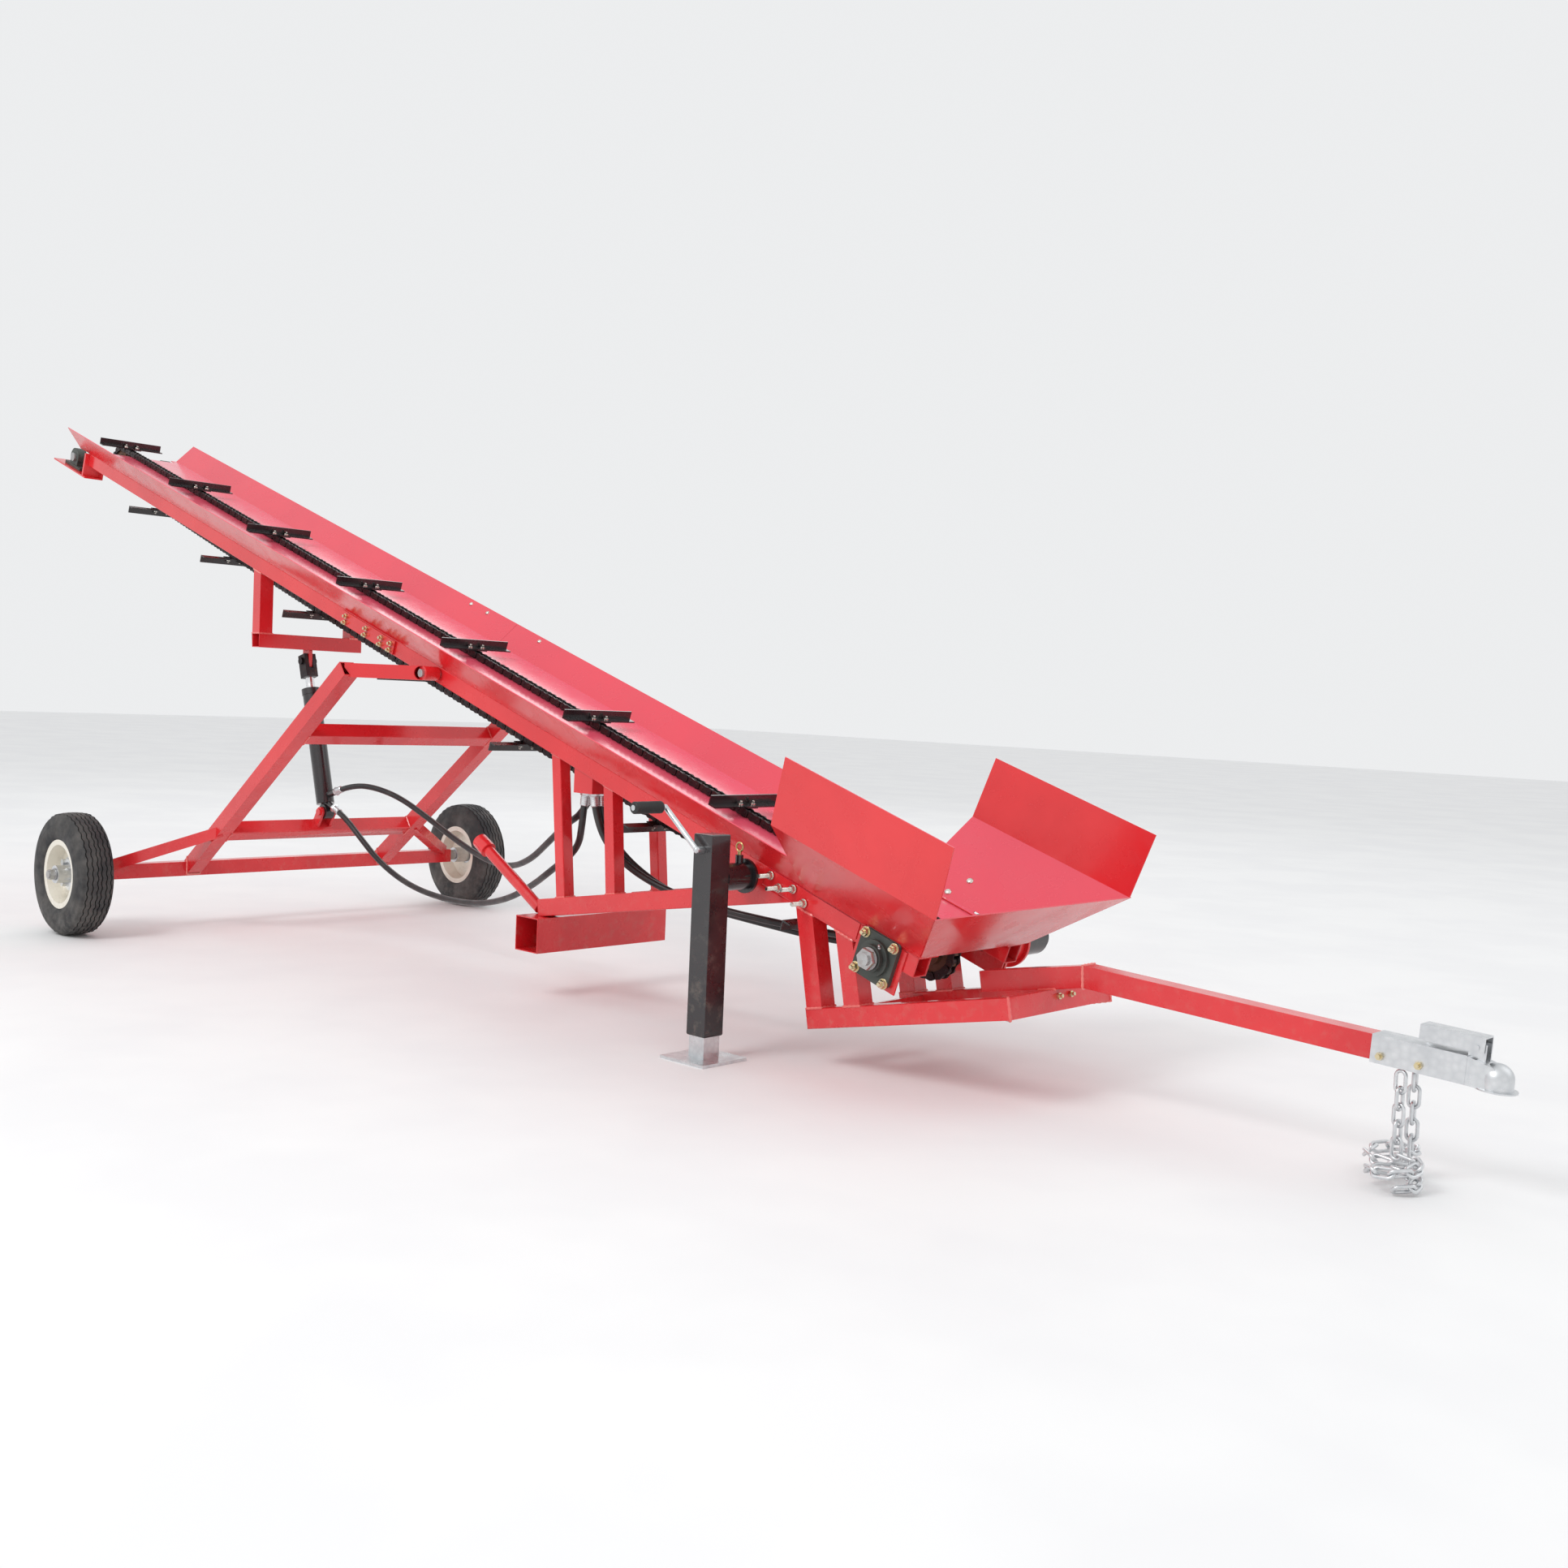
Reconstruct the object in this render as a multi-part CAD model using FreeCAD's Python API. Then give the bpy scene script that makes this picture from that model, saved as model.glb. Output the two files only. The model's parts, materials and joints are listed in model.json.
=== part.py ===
import FreeCAD, Part
import os
from math import cos, hypot, pi, radians, sin, sqrt, tan

V = FreeCAD.Vector
os.makedirs("parts", exist_ok=True)

# A towed chain-and-flight conveyor. Lengths are in mm, +X points at the hitch, +Z is up.
# x is counted from the axle while a piece is drawn; SHIFT_X then puts the origin half way
# between the take-up brackets' upper ends and the coupler's nose, on the ground.

# ---- driving dimensions -------------------------------------------------------------------
TUBE = 50.8                    # 2 inch square tube of the bed, legs, tongue and axle frame
LEG_TUBE = 38.1                # 1.5 inch square tube of the rear stand's legs
FORK_TUBE = 101.6              # 4 inch square cross tube under the rear stand
WALL = 3.2
SHEET = 3.0

BED_ANGLE = radians(18.39)
BED_RISE_AT_AXLE = 1364.0      # height of the rails' top plane above the axle
RAIL_Y = 184.6                 # centre plane of each rail
RAIL_OUT = RAIL_Y + TUBE / 2
RAIL_IN = RAIL_Y - TUBE / 2

CHAIN_PITCH = 25.4
TEETH = 16
SPROCKET_R = CHAIN_PITCH / 2 / sin(pi / TEETH)
PITCHES_BETWEEN_SHAFTS = 187
CHAIN_W = 15.0                 # chain centre above the rails' top plane
CHAIN_WIDE = 32.0
CHAIN_TALL = 23.0
SHAFT_W = CHAIN_W - SPROCKET_R
DRIVE_U = 3222.0
TAIL_U = DRIVE_U - PITCHES_BETWEEN_SHAFTS * CHAIN_PITCH
RETURN_SAG = 34.0
SHAFT_R = 17.5
SHAFT_STUB_R = 16.0            # the shaft is turned down outside the near bearing
RUNNING = 0.05                 # radial clearance of a running fit
FLIGHT_PITCH = 26 * CHAIN_PITCH
FLIGHT_WIDE = 262.0
FLIGHT_FIRST_U = -1480.0

WING_TOP_Y = 276.0
WING_TOP_W = 78.0
WING_END_U = -1473.0
SPLICE_U = 1010.0
HOPPER_U0 = 2945.0
HOPPER_U1 = 3468.0
HOPPER_FOLD_Y = 402.0
HOPPER_FOLD_W = 178.0
HOPPER_TOP_Y = 421.0
HOPPER_TOP_W = 350.0

WHEEL_Y = 806.0
TYRE_R = 208.0
TYRE_WIDE = 119.0
RIM_R = 101.6                  # 8 inch bead seat
RIM_FLANGE_R = 118.0
AXLE_HALF = 715.0
SPINDLE_R = 12.7
TRUSS_Y = 390.0

PIVOT = (1222.0, 934.0)        # lift pivot, x and z
CYL_BASE = (252.0, 421.0)      # cylinder base pin
CYL_TOP = (92.0, 966.0)        # rod clevis pin, under the hanging bracket
PIN_R = 12.7

JACK_X = 2628.0
JACK_Y = -372.0
JACK_TUBE = 63.5
JACK_AXIS_Z = 452.0

BALL_R = 25.4
SHIFT_X = -1405.2


# ---- helpers ------------------------------------------------------------------------------
def bed(u, y, w):
    """A point from bed coordinates: u down the slope, y across, w square to the bed."""
    return V(u * cos(BED_ANGLE) + w * sin(BED_ANGLE), y,
             BED_RISE_AT_AXLE - u * sin(BED_ANGLE) + w * cos(BED_ANGLE))


def frame_of(a, b, side):
    """Axes along a-b, nearest to side, and square to both."""
    along = (b - a).normalize()
    if abs(along.dot(side)) > 0.99 * side.Length:
        side = V(1, 0, 0) if abs(along.x) < 0.7 else V(0, 0, 1)
    third = along.cross(side).normalize()
    return along, third.cross(along).normalize(), third


def prism(a, b, points, side=V(0, 1, 0)):
    """Extrude an outline of (side, third) points from a to b."""
    along, across, third = frame_of(a, b, side)
    corners = [a + across * p + third * q for p, q in points]
    face = Part.Face(Part.makePolygon(corners + corners[:1]))
    return face.extrude(b - a)


def bar(a, b, wide, tall, side=V(0, 1, 0)):
    w, t = wide / 2, tall / 2
    return prism(a, b, [(-w, -t), (w, -t), (w, t), (-w, t)], side)


def tube(a, b, wide=TUBE, tall=None, side=V(0, 1, 0), wall=WALL):
    """A hollow rectangular tube, open at both ends."""
    tall = wide if tall is None else tall
    spare = (b - a).normalize() * 1.0
    core = bar(a - spare, b + spare, wide - 2 * wall, tall - 2 * wall, side)
    return bar(a, b, wide, tall, side).cut(core)


def rod(a, b, r):
    return Part.makeCylinder(r, (b - a).Length, a, b - a)


def ring(a, b, r_out, r_in):
    spare = (b - a).normalize() * 1.0
    return rod(a, b, r_out).cut(rod(a - spare, b + spare, r_in))


def block(x0, y0, z0, x1, y1, z1):
    return Part.makeBox(x1 - x0, y1 - y0, z1 - z0, V(x0, y0, z0))


def hexagon(a, b, across_flats):
    r = across_flats / sqrt(3)
    return prism(a, b, [(r * cos(i * pi / 3), r * sin(i * pi / 3)) for i in range(6)],
                 V(0, 1, 0) if abs((b - a).normalize().y) < 0.9 else V(1, 0, 0))


def bolt(head, direction, size=10.0, reach=14.0):
    """A hexagon head on a surface, with its nut and shank stub standing out."""
    d = direction.normalize()
    nut = hexagon(head, head + d * size * 0.65, size * 1.6)
    return nut.fuse(rod(head + d * size * 0.6, head + d * reach, size / 2)).removeSplitter()


def half_space(at, normal):
    """A block that fills one side of a plane."""
    return bar(at, at + normal * 2000, 4000, 4000)


def folded(outline, thickness, a, b):
    """A folded sheet: a (y, w) polyline in the bed's section, given thickness, from u=a to u=b."""
    n = len(outline)
    normals = []
    for i in range(n - 1):
        dy, dw = outline[i + 1][0] - outline[i][0], outline[i + 1][1] - outline[i][1]
        size = hypot(dy, dw)
        normals.append((-dw / size, dy / size))
    inner = []
    for i, (y, w) in enumerate(outline):
        n0, n1 = normals[max(i - 1, 0)], normals[min(i, n - 2)]
        mid = (n0[0] + n1[0], n0[1] + n1[1])
        k = thickness * 2 / (mid[0] ** 2 + mid[1] ** 2)
        inner.append((y + mid[0] * k, w + mid[1] * k))
    loop = outline + inner[::-1]
    corners = [bed(a, y, w) for y, w in loop]
    face = Part.Face(Part.makePolygon(corners + corners[:1]))
    return face.extrude(bed(b, 0, 0) - bed(a, 0, 0))


def biggest(shape):
    """The largest solid of what a cut has left."""
    return max(shape.Solids, key=lambda s: s.Volume)


def mirror(shape):
    return shape.mirror(V(0, 0, 0), V(0, 1, 0))


def both(shape):
    return [shape, mirror(shape)]


def cut_all(shape, tools):
    for tool in tools:
        shape = shape.cut(tool)
    return shape


NODES = {}


def node(name, *shapes):
    solids = []
    for shape in shapes:
        solids += shape.Solids
    NODES[name] = [s for s in solids if s.Volume > 1.0]


# ---- bed: rails, cross tubes, trough ------------------------------------------------------
RAIL_U0, RAIL_U1 = -1372.0, 3330.0
rail_solid = bar(bed(RAIL_U0, -RAIL_Y, -TUBE / 2), bed(RAIL_U1, -RAIL_Y, -TUBE / 2), TUBE, TUBE)
rail_near = tube(bed(RAIL_U0, -RAIL_Y, -TUBE / 2), bed(RAIL_U1, -RAIL_Y, -TUBE / 2))
rail_envelopes = both(rail_solid)
shaft_hole = rod(bed(DRIVE_U, -300, SHAFT_W), bed(DRIVE_U, 300, SHAFT_W), SHAFT_R + 5)
node("bed_rails", *[rail.cut(shaft_hole) for rail in both(rail_near)])

CROSS_U = (-1180.0, -250.0, 620.0, 1500.0, 2380.0, 3080.0)
node("bed_cross_tubes", *[
    tube(bed(u, -RAIL_IN, -TUBE / 2), bed(u, RAIL_IN, -TUBE / 2), 38.1, 38.1, V(0, 0, 1))
    for u in CROSS_U])

PAN_U0 = TAIL_U + 95.0
trough_line = [(-WING_TOP_Y, WING_TOP_W), (-RAIL_OUT, 0.0), (RAIL_OUT, 0.0), (WING_TOP_Y, WING_TOP_W)]
upper_pan = folded(trough_line, SHEET, PAN_U0, SPLICE_U)
wing_tip = folded(trough_line[:2] + [(-RAIL_OUT + 26.0, 0.0)], SHEET, WING_END_U, PAN_U0)
upper_pan = upper_pan.fuse(both(wing_tip)).removeSplitter()
lower_pan = folded(trough_line, SHEET, SPLICE_U + 1.0, HOPPER_U0 - 2.0)
SLOT_U = DRIVE_U - 105.0
floor_line = [(-RAIL_OUT, 0.0), (RAIL_OUT, 0.0)]
hopper_floor = folded(floor_line, SHEET, HOPPER_U0 - 2.0, RAIL_U1 + 5.0)
sprocket_slot = bar(bed(SLOT_U, 0, 0), bed(RAIL_U1 + 40, 0, 0), 70.0, 30.0)
lower_pan = lower_pan.fuse(hopper_floor).removeSplitter().cut(sprocket_slot)
flight_slot = bar(bed(DRIVE_U + 60.0, 0, 0), bed(RAIL_U1 + 40, 0, 0), FLIGHT_WIDE + 20, 30.0)
lower_pan = lower_pan.cut(flight_slot)
node("trough_pans", upper_pan, lower_pan)

# Splice plates lap the joint on the rails' outer faces.
plate = bar(bed(SPLICE_U - 300, -RAIL_OUT - 3, -TUBE / 2),
            bed(SPLICE_U + 30, -RAIL_OUT - 3, -TUBE / 2), 6.0, TUBE - 6)
splice_plates = both(plate)

# ---- hopper at the lower end --------------------------------------------------------------
side_line = [(-HOPPER_TOP_Y, HOPPER_TOP_W), (-HOPPER_FOLD_Y, HOPPER_FOLD_W), (-RAIL_OUT - 6.0, 4.0)]
hopper_side = folded(side_line, SHEET, HOPPER_U0, HOPPER_U1)
skirt = folded([(-RAIL_OUT - 3.2, -1.0), (-RAIL_OUT - 3.2, -42.0)], SHEET,
               HOPPER_U0 - 130.0, DRIVE_U - 80.0)
lip = folded([(-RAIL_OUT - 6.0, 4.0), (-RAIL_OUT + 12.0, 4.0)], SHEET, HOPPER_U0, RAIL_U1)
APRON_TOP = (HOPPER_U1 - 1.0, HOPPER_FOLD_W + 3.0)
APRON_LOW = (RAIL_U1 + 8.0, 8.0)


def apron_cutter():
    """Everything in front of the apron's plane."""
    top, low = bed(APRON_TOP[0], 0, APRON_TOP[1]), bed(APRON_LOW[0], 0, APRON_LOW[1])
    run = (top - low).normalize()
    out = V(run.z, 0, -run.x)
    a = low - run * 300
    corners = [a, a + run * (top - low).Length + run * 300, top + out * 400, a + out * 400]
    corners = [V(c.x, -600, c.z) for c in corners]
    return Part.Face(Part.makePolygon(corners + corners[:1])).extrude(V(0, 1200, 0))


front_space = apron_cutter()
bearing_notch = bar(bed(DRIVE_U, -RAIL_OUT - 3, -50), bed(DRIVE_U, -RAIL_OUT - 20, -50), 120.0, 120.0,
                    V(sin(BED_ANGLE), 0, cos(BED_ANGLE)))
hopper_side = hopper_side.fuse(lip).removeSplitter().cut(front_space).cut(bearing_notch)
node("hopper_sides", *both(hopper_side), *both(skirt))

top_line = bed(APRON_TOP[0], 0, APRON_TOP[1])
low_line = bed(APRON_LOW[0], 0, APRON_LOW[1])
down = (top_line - low_line).normalize()
outward = V(down.z, 0, -down.x)
apron_corners = [V(top_line.x, -HOPPER_FOLD_Y - 3, top_line.z),
                 V(top_line.x, HOPPER_FOLD_Y + 3, top_line.z),
                 V(low_line.x, RAIL_OUT + 8, low_line.z),
                 V(low_line.x, -RAIL_OUT - 8, low_line.z)]
apron = Part.Face(Part.makePolygon(apron_corners + apron_corners[:1])).extrude(outward * SHEET)
node("hopper_apron", apron.translated(outward * 0.2))

# ---- shafts, sprockets, chain and flights -------------------------------------------------
BEARING = 117.0
BORE_OUT = RAIL_OUT + 4.0


def flange_bearing(u, sign, bore=SHAFT_R + RUNNING):
    """A square four-bolt flange bearing on the rail's outer face."""
    a = bed(u, sign * BORE_OUT, SHAFT_W)
    out = V(0, sign, 0)
    body = bar(a, a + out * 13, BEARING, BEARING, V(sin(BED_ANGLE), 0, cos(BED_ANGLE)))
    edges = [e for e in body.Edges if abs(e.tangentAt(e.FirstParameter).y) > 0.99]
    body = body.makeFillet(16, edges)
    body = body.fuse(rod(a, a + out * 22, 44)).fuse(rod(a + out * 22, a + out * 34, 33))
    body = body.cut(rod(a - out * 5, a + out * 60, bore))
    for du in (-46, 46):
        for dw in (-46, 46):
            hole = bed(u + du, sign * (BORE_OUT - 5), SHAFT_W + dw)
            body = body.cut(rod(hole, hole + out * 60, 7))
    return body.removeSplitter()


bearing_plate = bar(bed(DRIVE_U - 75, -RAIL_OUT - 2, -58), bed(DRIVE_U + 75, -RAIL_OUT - 2, -58), 4, 112)
bearing_plate = bearing_plate.cut(shaft_hole)
node("side_plates", *splice_plates, *both(bearing_plate))
node("drive_bearings", flange_bearing(DRIVE_U, -1), flange_bearing(DRIVE_U, 1))

SHAFT_STEP = BORE_OUT + 36.0
SHAFT_END = BORE_OUT + 58.0
drive_shaft = rod(bed(DRIVE_U, -SHAFT_STEP, SHAFT_W), bed(DRIVE_U, RAIL_OUT + 70, SHAFT_W), SHAFT_R)
shaft_stub = rod(bed(DRIVE_U, -SHAFT_END, SHAFT_W), bed(DRIVE_U, -SHAFT_STEP, SHAFT_W), SHAFT_STUB_R)
drive_shaft = drive_shaft.fuse(shaft_stub).removeSplitter()


def sprocket(u):
    """A plate sprocket with a hub; each tooth gap is a roller seat."""
    c = bed(u, 0, SHAFT_W)
    wheel = rod(c - V(0, 7, 0), c + V(0, 7, 0), SPROCKET_R + 7.0)
    wheel = wheel.fuse(rod(c - V(0, 22, 0), c + V(0, 22, 0), 36))
    for i in range(TEETH):
        a = (i + 0.5) * 2 * pi / TEETH
        seat = c + V(cos(a) * SPROCKET_R, 0, sin(a) * SPROCKET_R)
        wheel = wheel.cut(rod(seat - V(0, 20, 0), seat + V(0, 20, 0), 8.3))
        far_seat = c + V(cos(a) * (SPROCKET_R + 7), 0, sin(a) * (SPROCKET_R + 7))
        wheel = wheel.cut(rod(far_seat - V(0, 20, 0), far_seat + V(0, 20, 0), 8.8))
    return wheel.cut(rod(c - V(0, 40, 0), c + V(0, 40, 0), SHAFT_R))


node("drive_sprocket", sprocket(DRIVE_U))
node("tail_sprocket", sprocket(TAIL_U))
TAIL_HALF = RAIL_Y + 30.0
node("tail_shaft", rod(bed(TAIL_U, -TAIL_HALF, SHAFT_W), bed(TAIL_U, TAIL_HALF, SHAFT_W), SHAFT_R))


def chain_wrap(u, front):
    """Half a turn of chain, in two side straps beside the sprocket's plate."""
    c = bed(u, 0, SHAFT_W)
    outer, inner = SPROCKET_R + CHAIN_TALL / 2, SPROCKET_R - CHAIN_TALL / 2
    straps = []
    for s in (-1, 1):
        y0 = s * (CHAIN_WIDE / 2)
        y1 = s * 8.6
        washer = ring(c + V(0, y0, 0), c + V(0, y1, 0), outer, inner)
        if inner < 36:
            washer = washer.cut(rod(c - V(0, 40, 0), c + V(0, 40, 0), 36.5))
        turn = 1 if front else -1
        keep = bar(bed(u + turn * 6, 0, SHAFT_W), bed(u + turn * 200, 0, SHAFT_W), 100, 400)
        straps.append(washer.common(keep))
    return straps


node("chain_wrap_drive", *chain_wrap(DRIVE_U, True))
node("chain_wrap_tail", *chain_wrap(TAIL_U, False))
RUN_END = 8.0
teeth_room = Part.makeCompound([bar(bed(u, 0, SHAFT_W), bed(u + 190, 0, SHAFT_W), 17, 300)
                                for u in (TAIL_U - 95, DRIVE_U - 95)])
chain_upper = bar(bed(TAIL_U + RUN_END, 0, CHAIN_W), bed(DRIVE_U - RUN_END, 0, CHAIN_W),
                  CHAIN_WIDE, CHAIN_TALL)
node("chain_upper", chain_upper.cut(teeth_room))

RETURN_W = SHAFT_W - SPROCKET_R
SPAN = DRIVE_U - TAIL_U
SAG_R = (SPAN ** 2 / 4 + RETURN_SAG ** 2) / (2 * RETURN_SAG)


def return_w(u):
    """Height of the slack return run: a shallow arc that sags in the middle."""
    mid = (DRIVE_U + TAIL_U) / 2
    return RETURN_W - RETURN_SAG + SAG_R - sqrt(SAG_R ** 2 - (u - mid) ** 2)


def arc_edges(w_shift, u0, u1):
    mid = (u0 + u1) / 2
    points = [bed(u, 0, return_w(u) + w_shift) for u in (u0, mid, u1)]
    return Part.Arc(*points).toShape()


u0, u1 = TAIL_U + RUN_END, DRIVE_U - RUN_END
low_edge, high_edge = arc_edges(-CHAIN_TALL / 2, u0, u1), arc_edges(CHAIN_TALL / 2, u0, u1)
ends = [Part.makeLine(bed(u, 0, return_w(u) - CHAIN_TALL / 2),
                      bed(u, 0, return_w(u) + CHAIN_TALL / 2)) for u in (u0, u1)]
run_face = Part.Face(Part.Wire(Part.__sortEdges__([low_edge, high_edge] + ends)))
chain_return = run_face.extrude(V(0, CHAIN_WIDE, 0)).translated(V(0, -CHAIN_WIDE / 2, 0))
node("chain_return", chain_return.cut(teeth_room))


def flight(u, w, up):
    """An angle-iron flight on a pair of chain attachments; up is +1 on the carrying run."""
    seat = w + up * (CHAIN_TALL / 2 + 3.0)
    half, tab_w = FLIGHT_WIDE / 2, seat - up * 1.5
    down_bed = bed(1, 0, 0) - bed(0, 0, 0)
    upright = bar(bed(u, -half, seat + up * 14), bed(u, half, seat + up * 14), 4.0, 28.0, down_bed)
    foot = bar(bed(u + 13, -half, seat + up * 2), bed(u + 13, half, seat + up * 2), 26.0, 4.0, down_bed)
    angle = upright.fuse(foot).removeSplitter()
    parts = [angle, bar(bed(u - 6, 0, tab_w), bed(u + 26, 0, tab_w), 74.0, 3.0)]
    for y in (-24, 24):
        a = bed(u + 14, y, seat + up * 4)
        parts.append(bolt(a, bed(0, 0, up) - bed(0, 0, 0), 8.0, 11.0))
    return parts


upper, lower = [], []
for i in range(7):
    upper += flight(FLIGHT_FIRST_U + i * FLIGHT_PITCH, CHAIN_W, 1)
LOOP_HALF = TEETH / 2 * CHAIN_PITCH
first_return = TAIL_U + (FLIGHT_PITCH - LOOP_HALF - (FLIGHT_FIRST_U - TAIL_U))
for i in range(7):
    u = first_return + i * FLIGHT_PITCH
    lower += flight(u, return_w(u) - 0.6, -1)
node("flights_upper", *upper)
node("flights_return", *lower)

# ---- take-up end --------------------------------------------------------------------------
TAKE_W = SHAFT_W - 46.0
brackets = []
housings = []
for s in (-1, 1):
    y = s * (RAIL_Y + 6)
    ledge = bar(bed(RAIL_U0 - 300, y, TAKE_W), bed(RAIL_U0 + 20, y, TAKE_W), 76, 6)
    flange = bar(bed(RAIL_U0 - 300, y - s * 35, TAKE_W + 15),
                 bed(RAIL_U0 + 20, y - s * 35, TAKE_W + 15), 6, 24)
    cheek = bar(bed(RAIL_U0 - 6, y, TAKE_W), bed(RAIL_U0 - 6, y, -0.6), 76, 12)
    brackets.append(cut_all(ledge.fuse([flange, cheek]).removeSplitter(), rail_envelopes))
    c = bed(TAIL_U, s * (RAIL_Y + 4), SHAFT_W)
    base = bar(bed(TAIL_U - 75, c.y, TAKE_W + 9.3), bed(TAIL_U + 75, c.y, TAKE_W + 9.3), 42, 12)
    dome = rod(bed(TAIL_U, c.y - 18, SHAFT_W), bed(TAIL_U, c.y + 18, SHAFT_W), 38)
    foot = bar(bed(TAIL_U - 34, c.y, SHAFT_W - 20), bed(TAIL_U + 34, c.y, SHAFT_W - 20), 36, 40)
    shell = base.fuse([dome, foot]).cut(
        rod(bed(TAIL_U, c.y - 60, SHAFT_W), bed(TAIL_U, c.y + 60, SHAFT_W), SHAFT_R + RUNNING))
    keep = bar(bed(TAIL_U - 90, c.y, TAKE_W + 53.3), bed(TAIL_U + 90, c.y, TAKE_W + 53.3), 60, 100)
    housings.append(shell.common(keep).removeSplitter())
node("takeup_brackets", *brackets)
node("tail_bearings", *housings)

# ---- rear stand, fork tube, front stand ---------------------------------------------------
SILL_A, SILL_B = V(1752, -RAIL_Y, 262), V(2790, -RAIL_Y, 428)


def leg(top, foot, size, sill):
    """A leg that is cut off square against the rail above and the sill below."""
    long_leg = tube(top, foot, size)
    return cut_all(long_leg, rail_envelopes + [sill])


sill_solid = bar(SILL_A, SILL_B, TUBE, TUBE)
rear_legs = [leg(V(1795, -RAIL_Y, 792), V(1850, -RAIL_Y, 262), LEG_TUBE, sill_solid),
             leg(V(2030, -RAIL_Y, 715), V(2066, -RAIL_Y, 298), LEG_TUBE, sill_solid)]
rear_legs = [biggest(piece) for piece in rear_legs]
FRONT_LEGS = ((V(2772, -RAIL_Y, 500), V(2861, -RAIL_Y, 56)), (V(2904, -RAIL_Y, 450), V(2982, -RAIL_Y, 80)))
sill = biggest(cut_all(tube(SILL_A, SILL_B), rail_envelopes + [bar(*FRONT_LEGS[0], TUBE, TUBE)]))
node("rear_stand", *[s for piece in rear_legs + [sill] for s in both(piece)])
node("fork_cross_tube", tube(V(1758, -252, 188.5), V(1758, 252, 188.5), FORK_TUBE, side=V(1, 0, 0)).cut(
    Part.makeCompound(both(sill_solid))))

BASE_A, BASE_B = V(2820, -RAIL_Y, 114.4), V(3393, -RAIL_Y, 231)
BASE_DIR = (BASE_B - BASE_A).normalize()
BASE_UP = V(-BASE_DIR.z, 0, BASE_DIR.x)
base_solid = bar(BASE_A, BASE_B, TUBE, TUBE)
front_legs = []
for top, foot in FRONT_LEGS:
    piece = cut_all(tube(top, foot), rail_envelopes + [base_solid])
    front_legs.append(biggest(piece))
corner_dir = (BASE_DIR + V(0, 1, 0)).normalize()
base_rail = tube(BASE_A, BASE_B + BASE_DIR * 60).cut(half_space(BASE_B, corner_dir))
cross_half = tube(BASE_B - V(0, 60, 0), V(BASE_B.x, 0, BASE_B.z), TUBE, side=BASE_DIR)
cross_half = biggest(cross_half.cut(half_space(BASE_B, corner_dir * -1)))
front_cross = cross_half.fuse(mirror(cross_half)).removeSplitter()
REAR_CROSS_X = BASE_A.x + 60
rear_cross = tube(V(REAR_CROSS_X, -RAIL_IN, 124), V(REAR_CROSS_X, RAIL_IN, 124), 38.1, 38.1, BASE_DIR)
node("front_stand", *[s for piece in front_legs + [base_rail] for s in both(piece)], front_cross, rear_cross)

# ---- tongue, coupler, latch ---------------------------------------------------------------
TONGUE_A, TONGUE_B, TONGUE_C = V(3205, 0, 248), V(3486, 0, 301), V(4227.902, 0, 258.574)
rise = (TONGUE_B - TONGUE_A).normalize()
tilt = (TONGUE_C - TONGUE_B).normalize()
bend_dir = (rise + tilt).normalize()
run_1 = tube(TONGUE_A, TONGUE_B + rise * 60).cut(half_space(TONGUE_B, bend_dir))
run_2 = tube(TONGUE_B - tilt * 60, TONGUE_C).cut(half_space(TONGUE_B, bend_dir * -1))
node("tongue", run_1.fuse(run_2).removeSplitter())

up_t = V(-tilt.z, 0, tilt.x)
C0 = TONGUE_C - tilt * 122


def on_coupler(s, y, h):
    """A point s along the coupler, h above the tongue's centre line."""
    return C0 + tilt * s + V(0, y, 0) + up_t * h


CHANNEL = TUBE + 8.6
CHANNEL_REAR = 50.0
BALL_S = 285.0
BALL_H = -10.0
channel = prism(on_coupler(CHANNEL_REAR, 0, 0), on_coupler(235, 0, 0),
                [(-CHANNEL / 2, 27), (-CHANNEL / 2, -30), (CHANNEL / 2, -30), (CHANNEL / 2, 27)])
ball_at = on_coupler(BALL_S, 0, BALL_H)
dome = Part.makeSphere(BALL_R + 5.5, ball_at)
skirt_band = rod(ball_at - up_t * 22, ball_at, BALL_R + 5.5)
neck = Part.makeLoft([
    Part.Wire(Part.makePolygon([on_coupler(230, p, q) for p, q in
                                ((-29, -30), (29, -30), (29, 27), (-29, 27), (-29, -30))])),
    Part.Wire(Part.makePolygon([on_coupler(BALL_S, p, q) for p, q in
                                ((-29, -32), (29, -32), (24, 12), (-24, 12), (-29, -32))]))], True)
flare = rod(ball_at - up_t * 22, ball_at - up_t * 19, BALL_R + 14)
shell = channel.fuse([dome, skirt_band, neck, flare])
hollow = prism(on_coupler(CHANNEL_REAR - 1, 0, 0), on_coupler(250, 0, 0),
               [(-TUBE / 2 - 0.3, 24), (-TUBE / 2 - 0.3, -60), (TUBE / 2 + 0.3, -60), (TUBE / 2 + 0.3, 24)])
front_hollow = prism(on_coupler(245, 0, 0), on_coupler(BALL_S, 0, 0),
                     [(-15, 8), (-15, -60), (15, -60), (15, 8)])
socket = Part.makeSphere(BALL_R + 0.8, ball_at).fuse(rod(ball_at - up_t * 60, ball_at, BALL_R + 0.8))
shell = shell.cut(hollow).cut(front_hollow).cut(socket).cut(
    rod(ball_at - up_t * 22.0, ball_at - up_t * 90.0, 60))
tongue_core = bar(TONGUE_B, TONGUE_C, TUBE, TUBE)
coupler = biggest(shell.cut(tongue_core))

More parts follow.
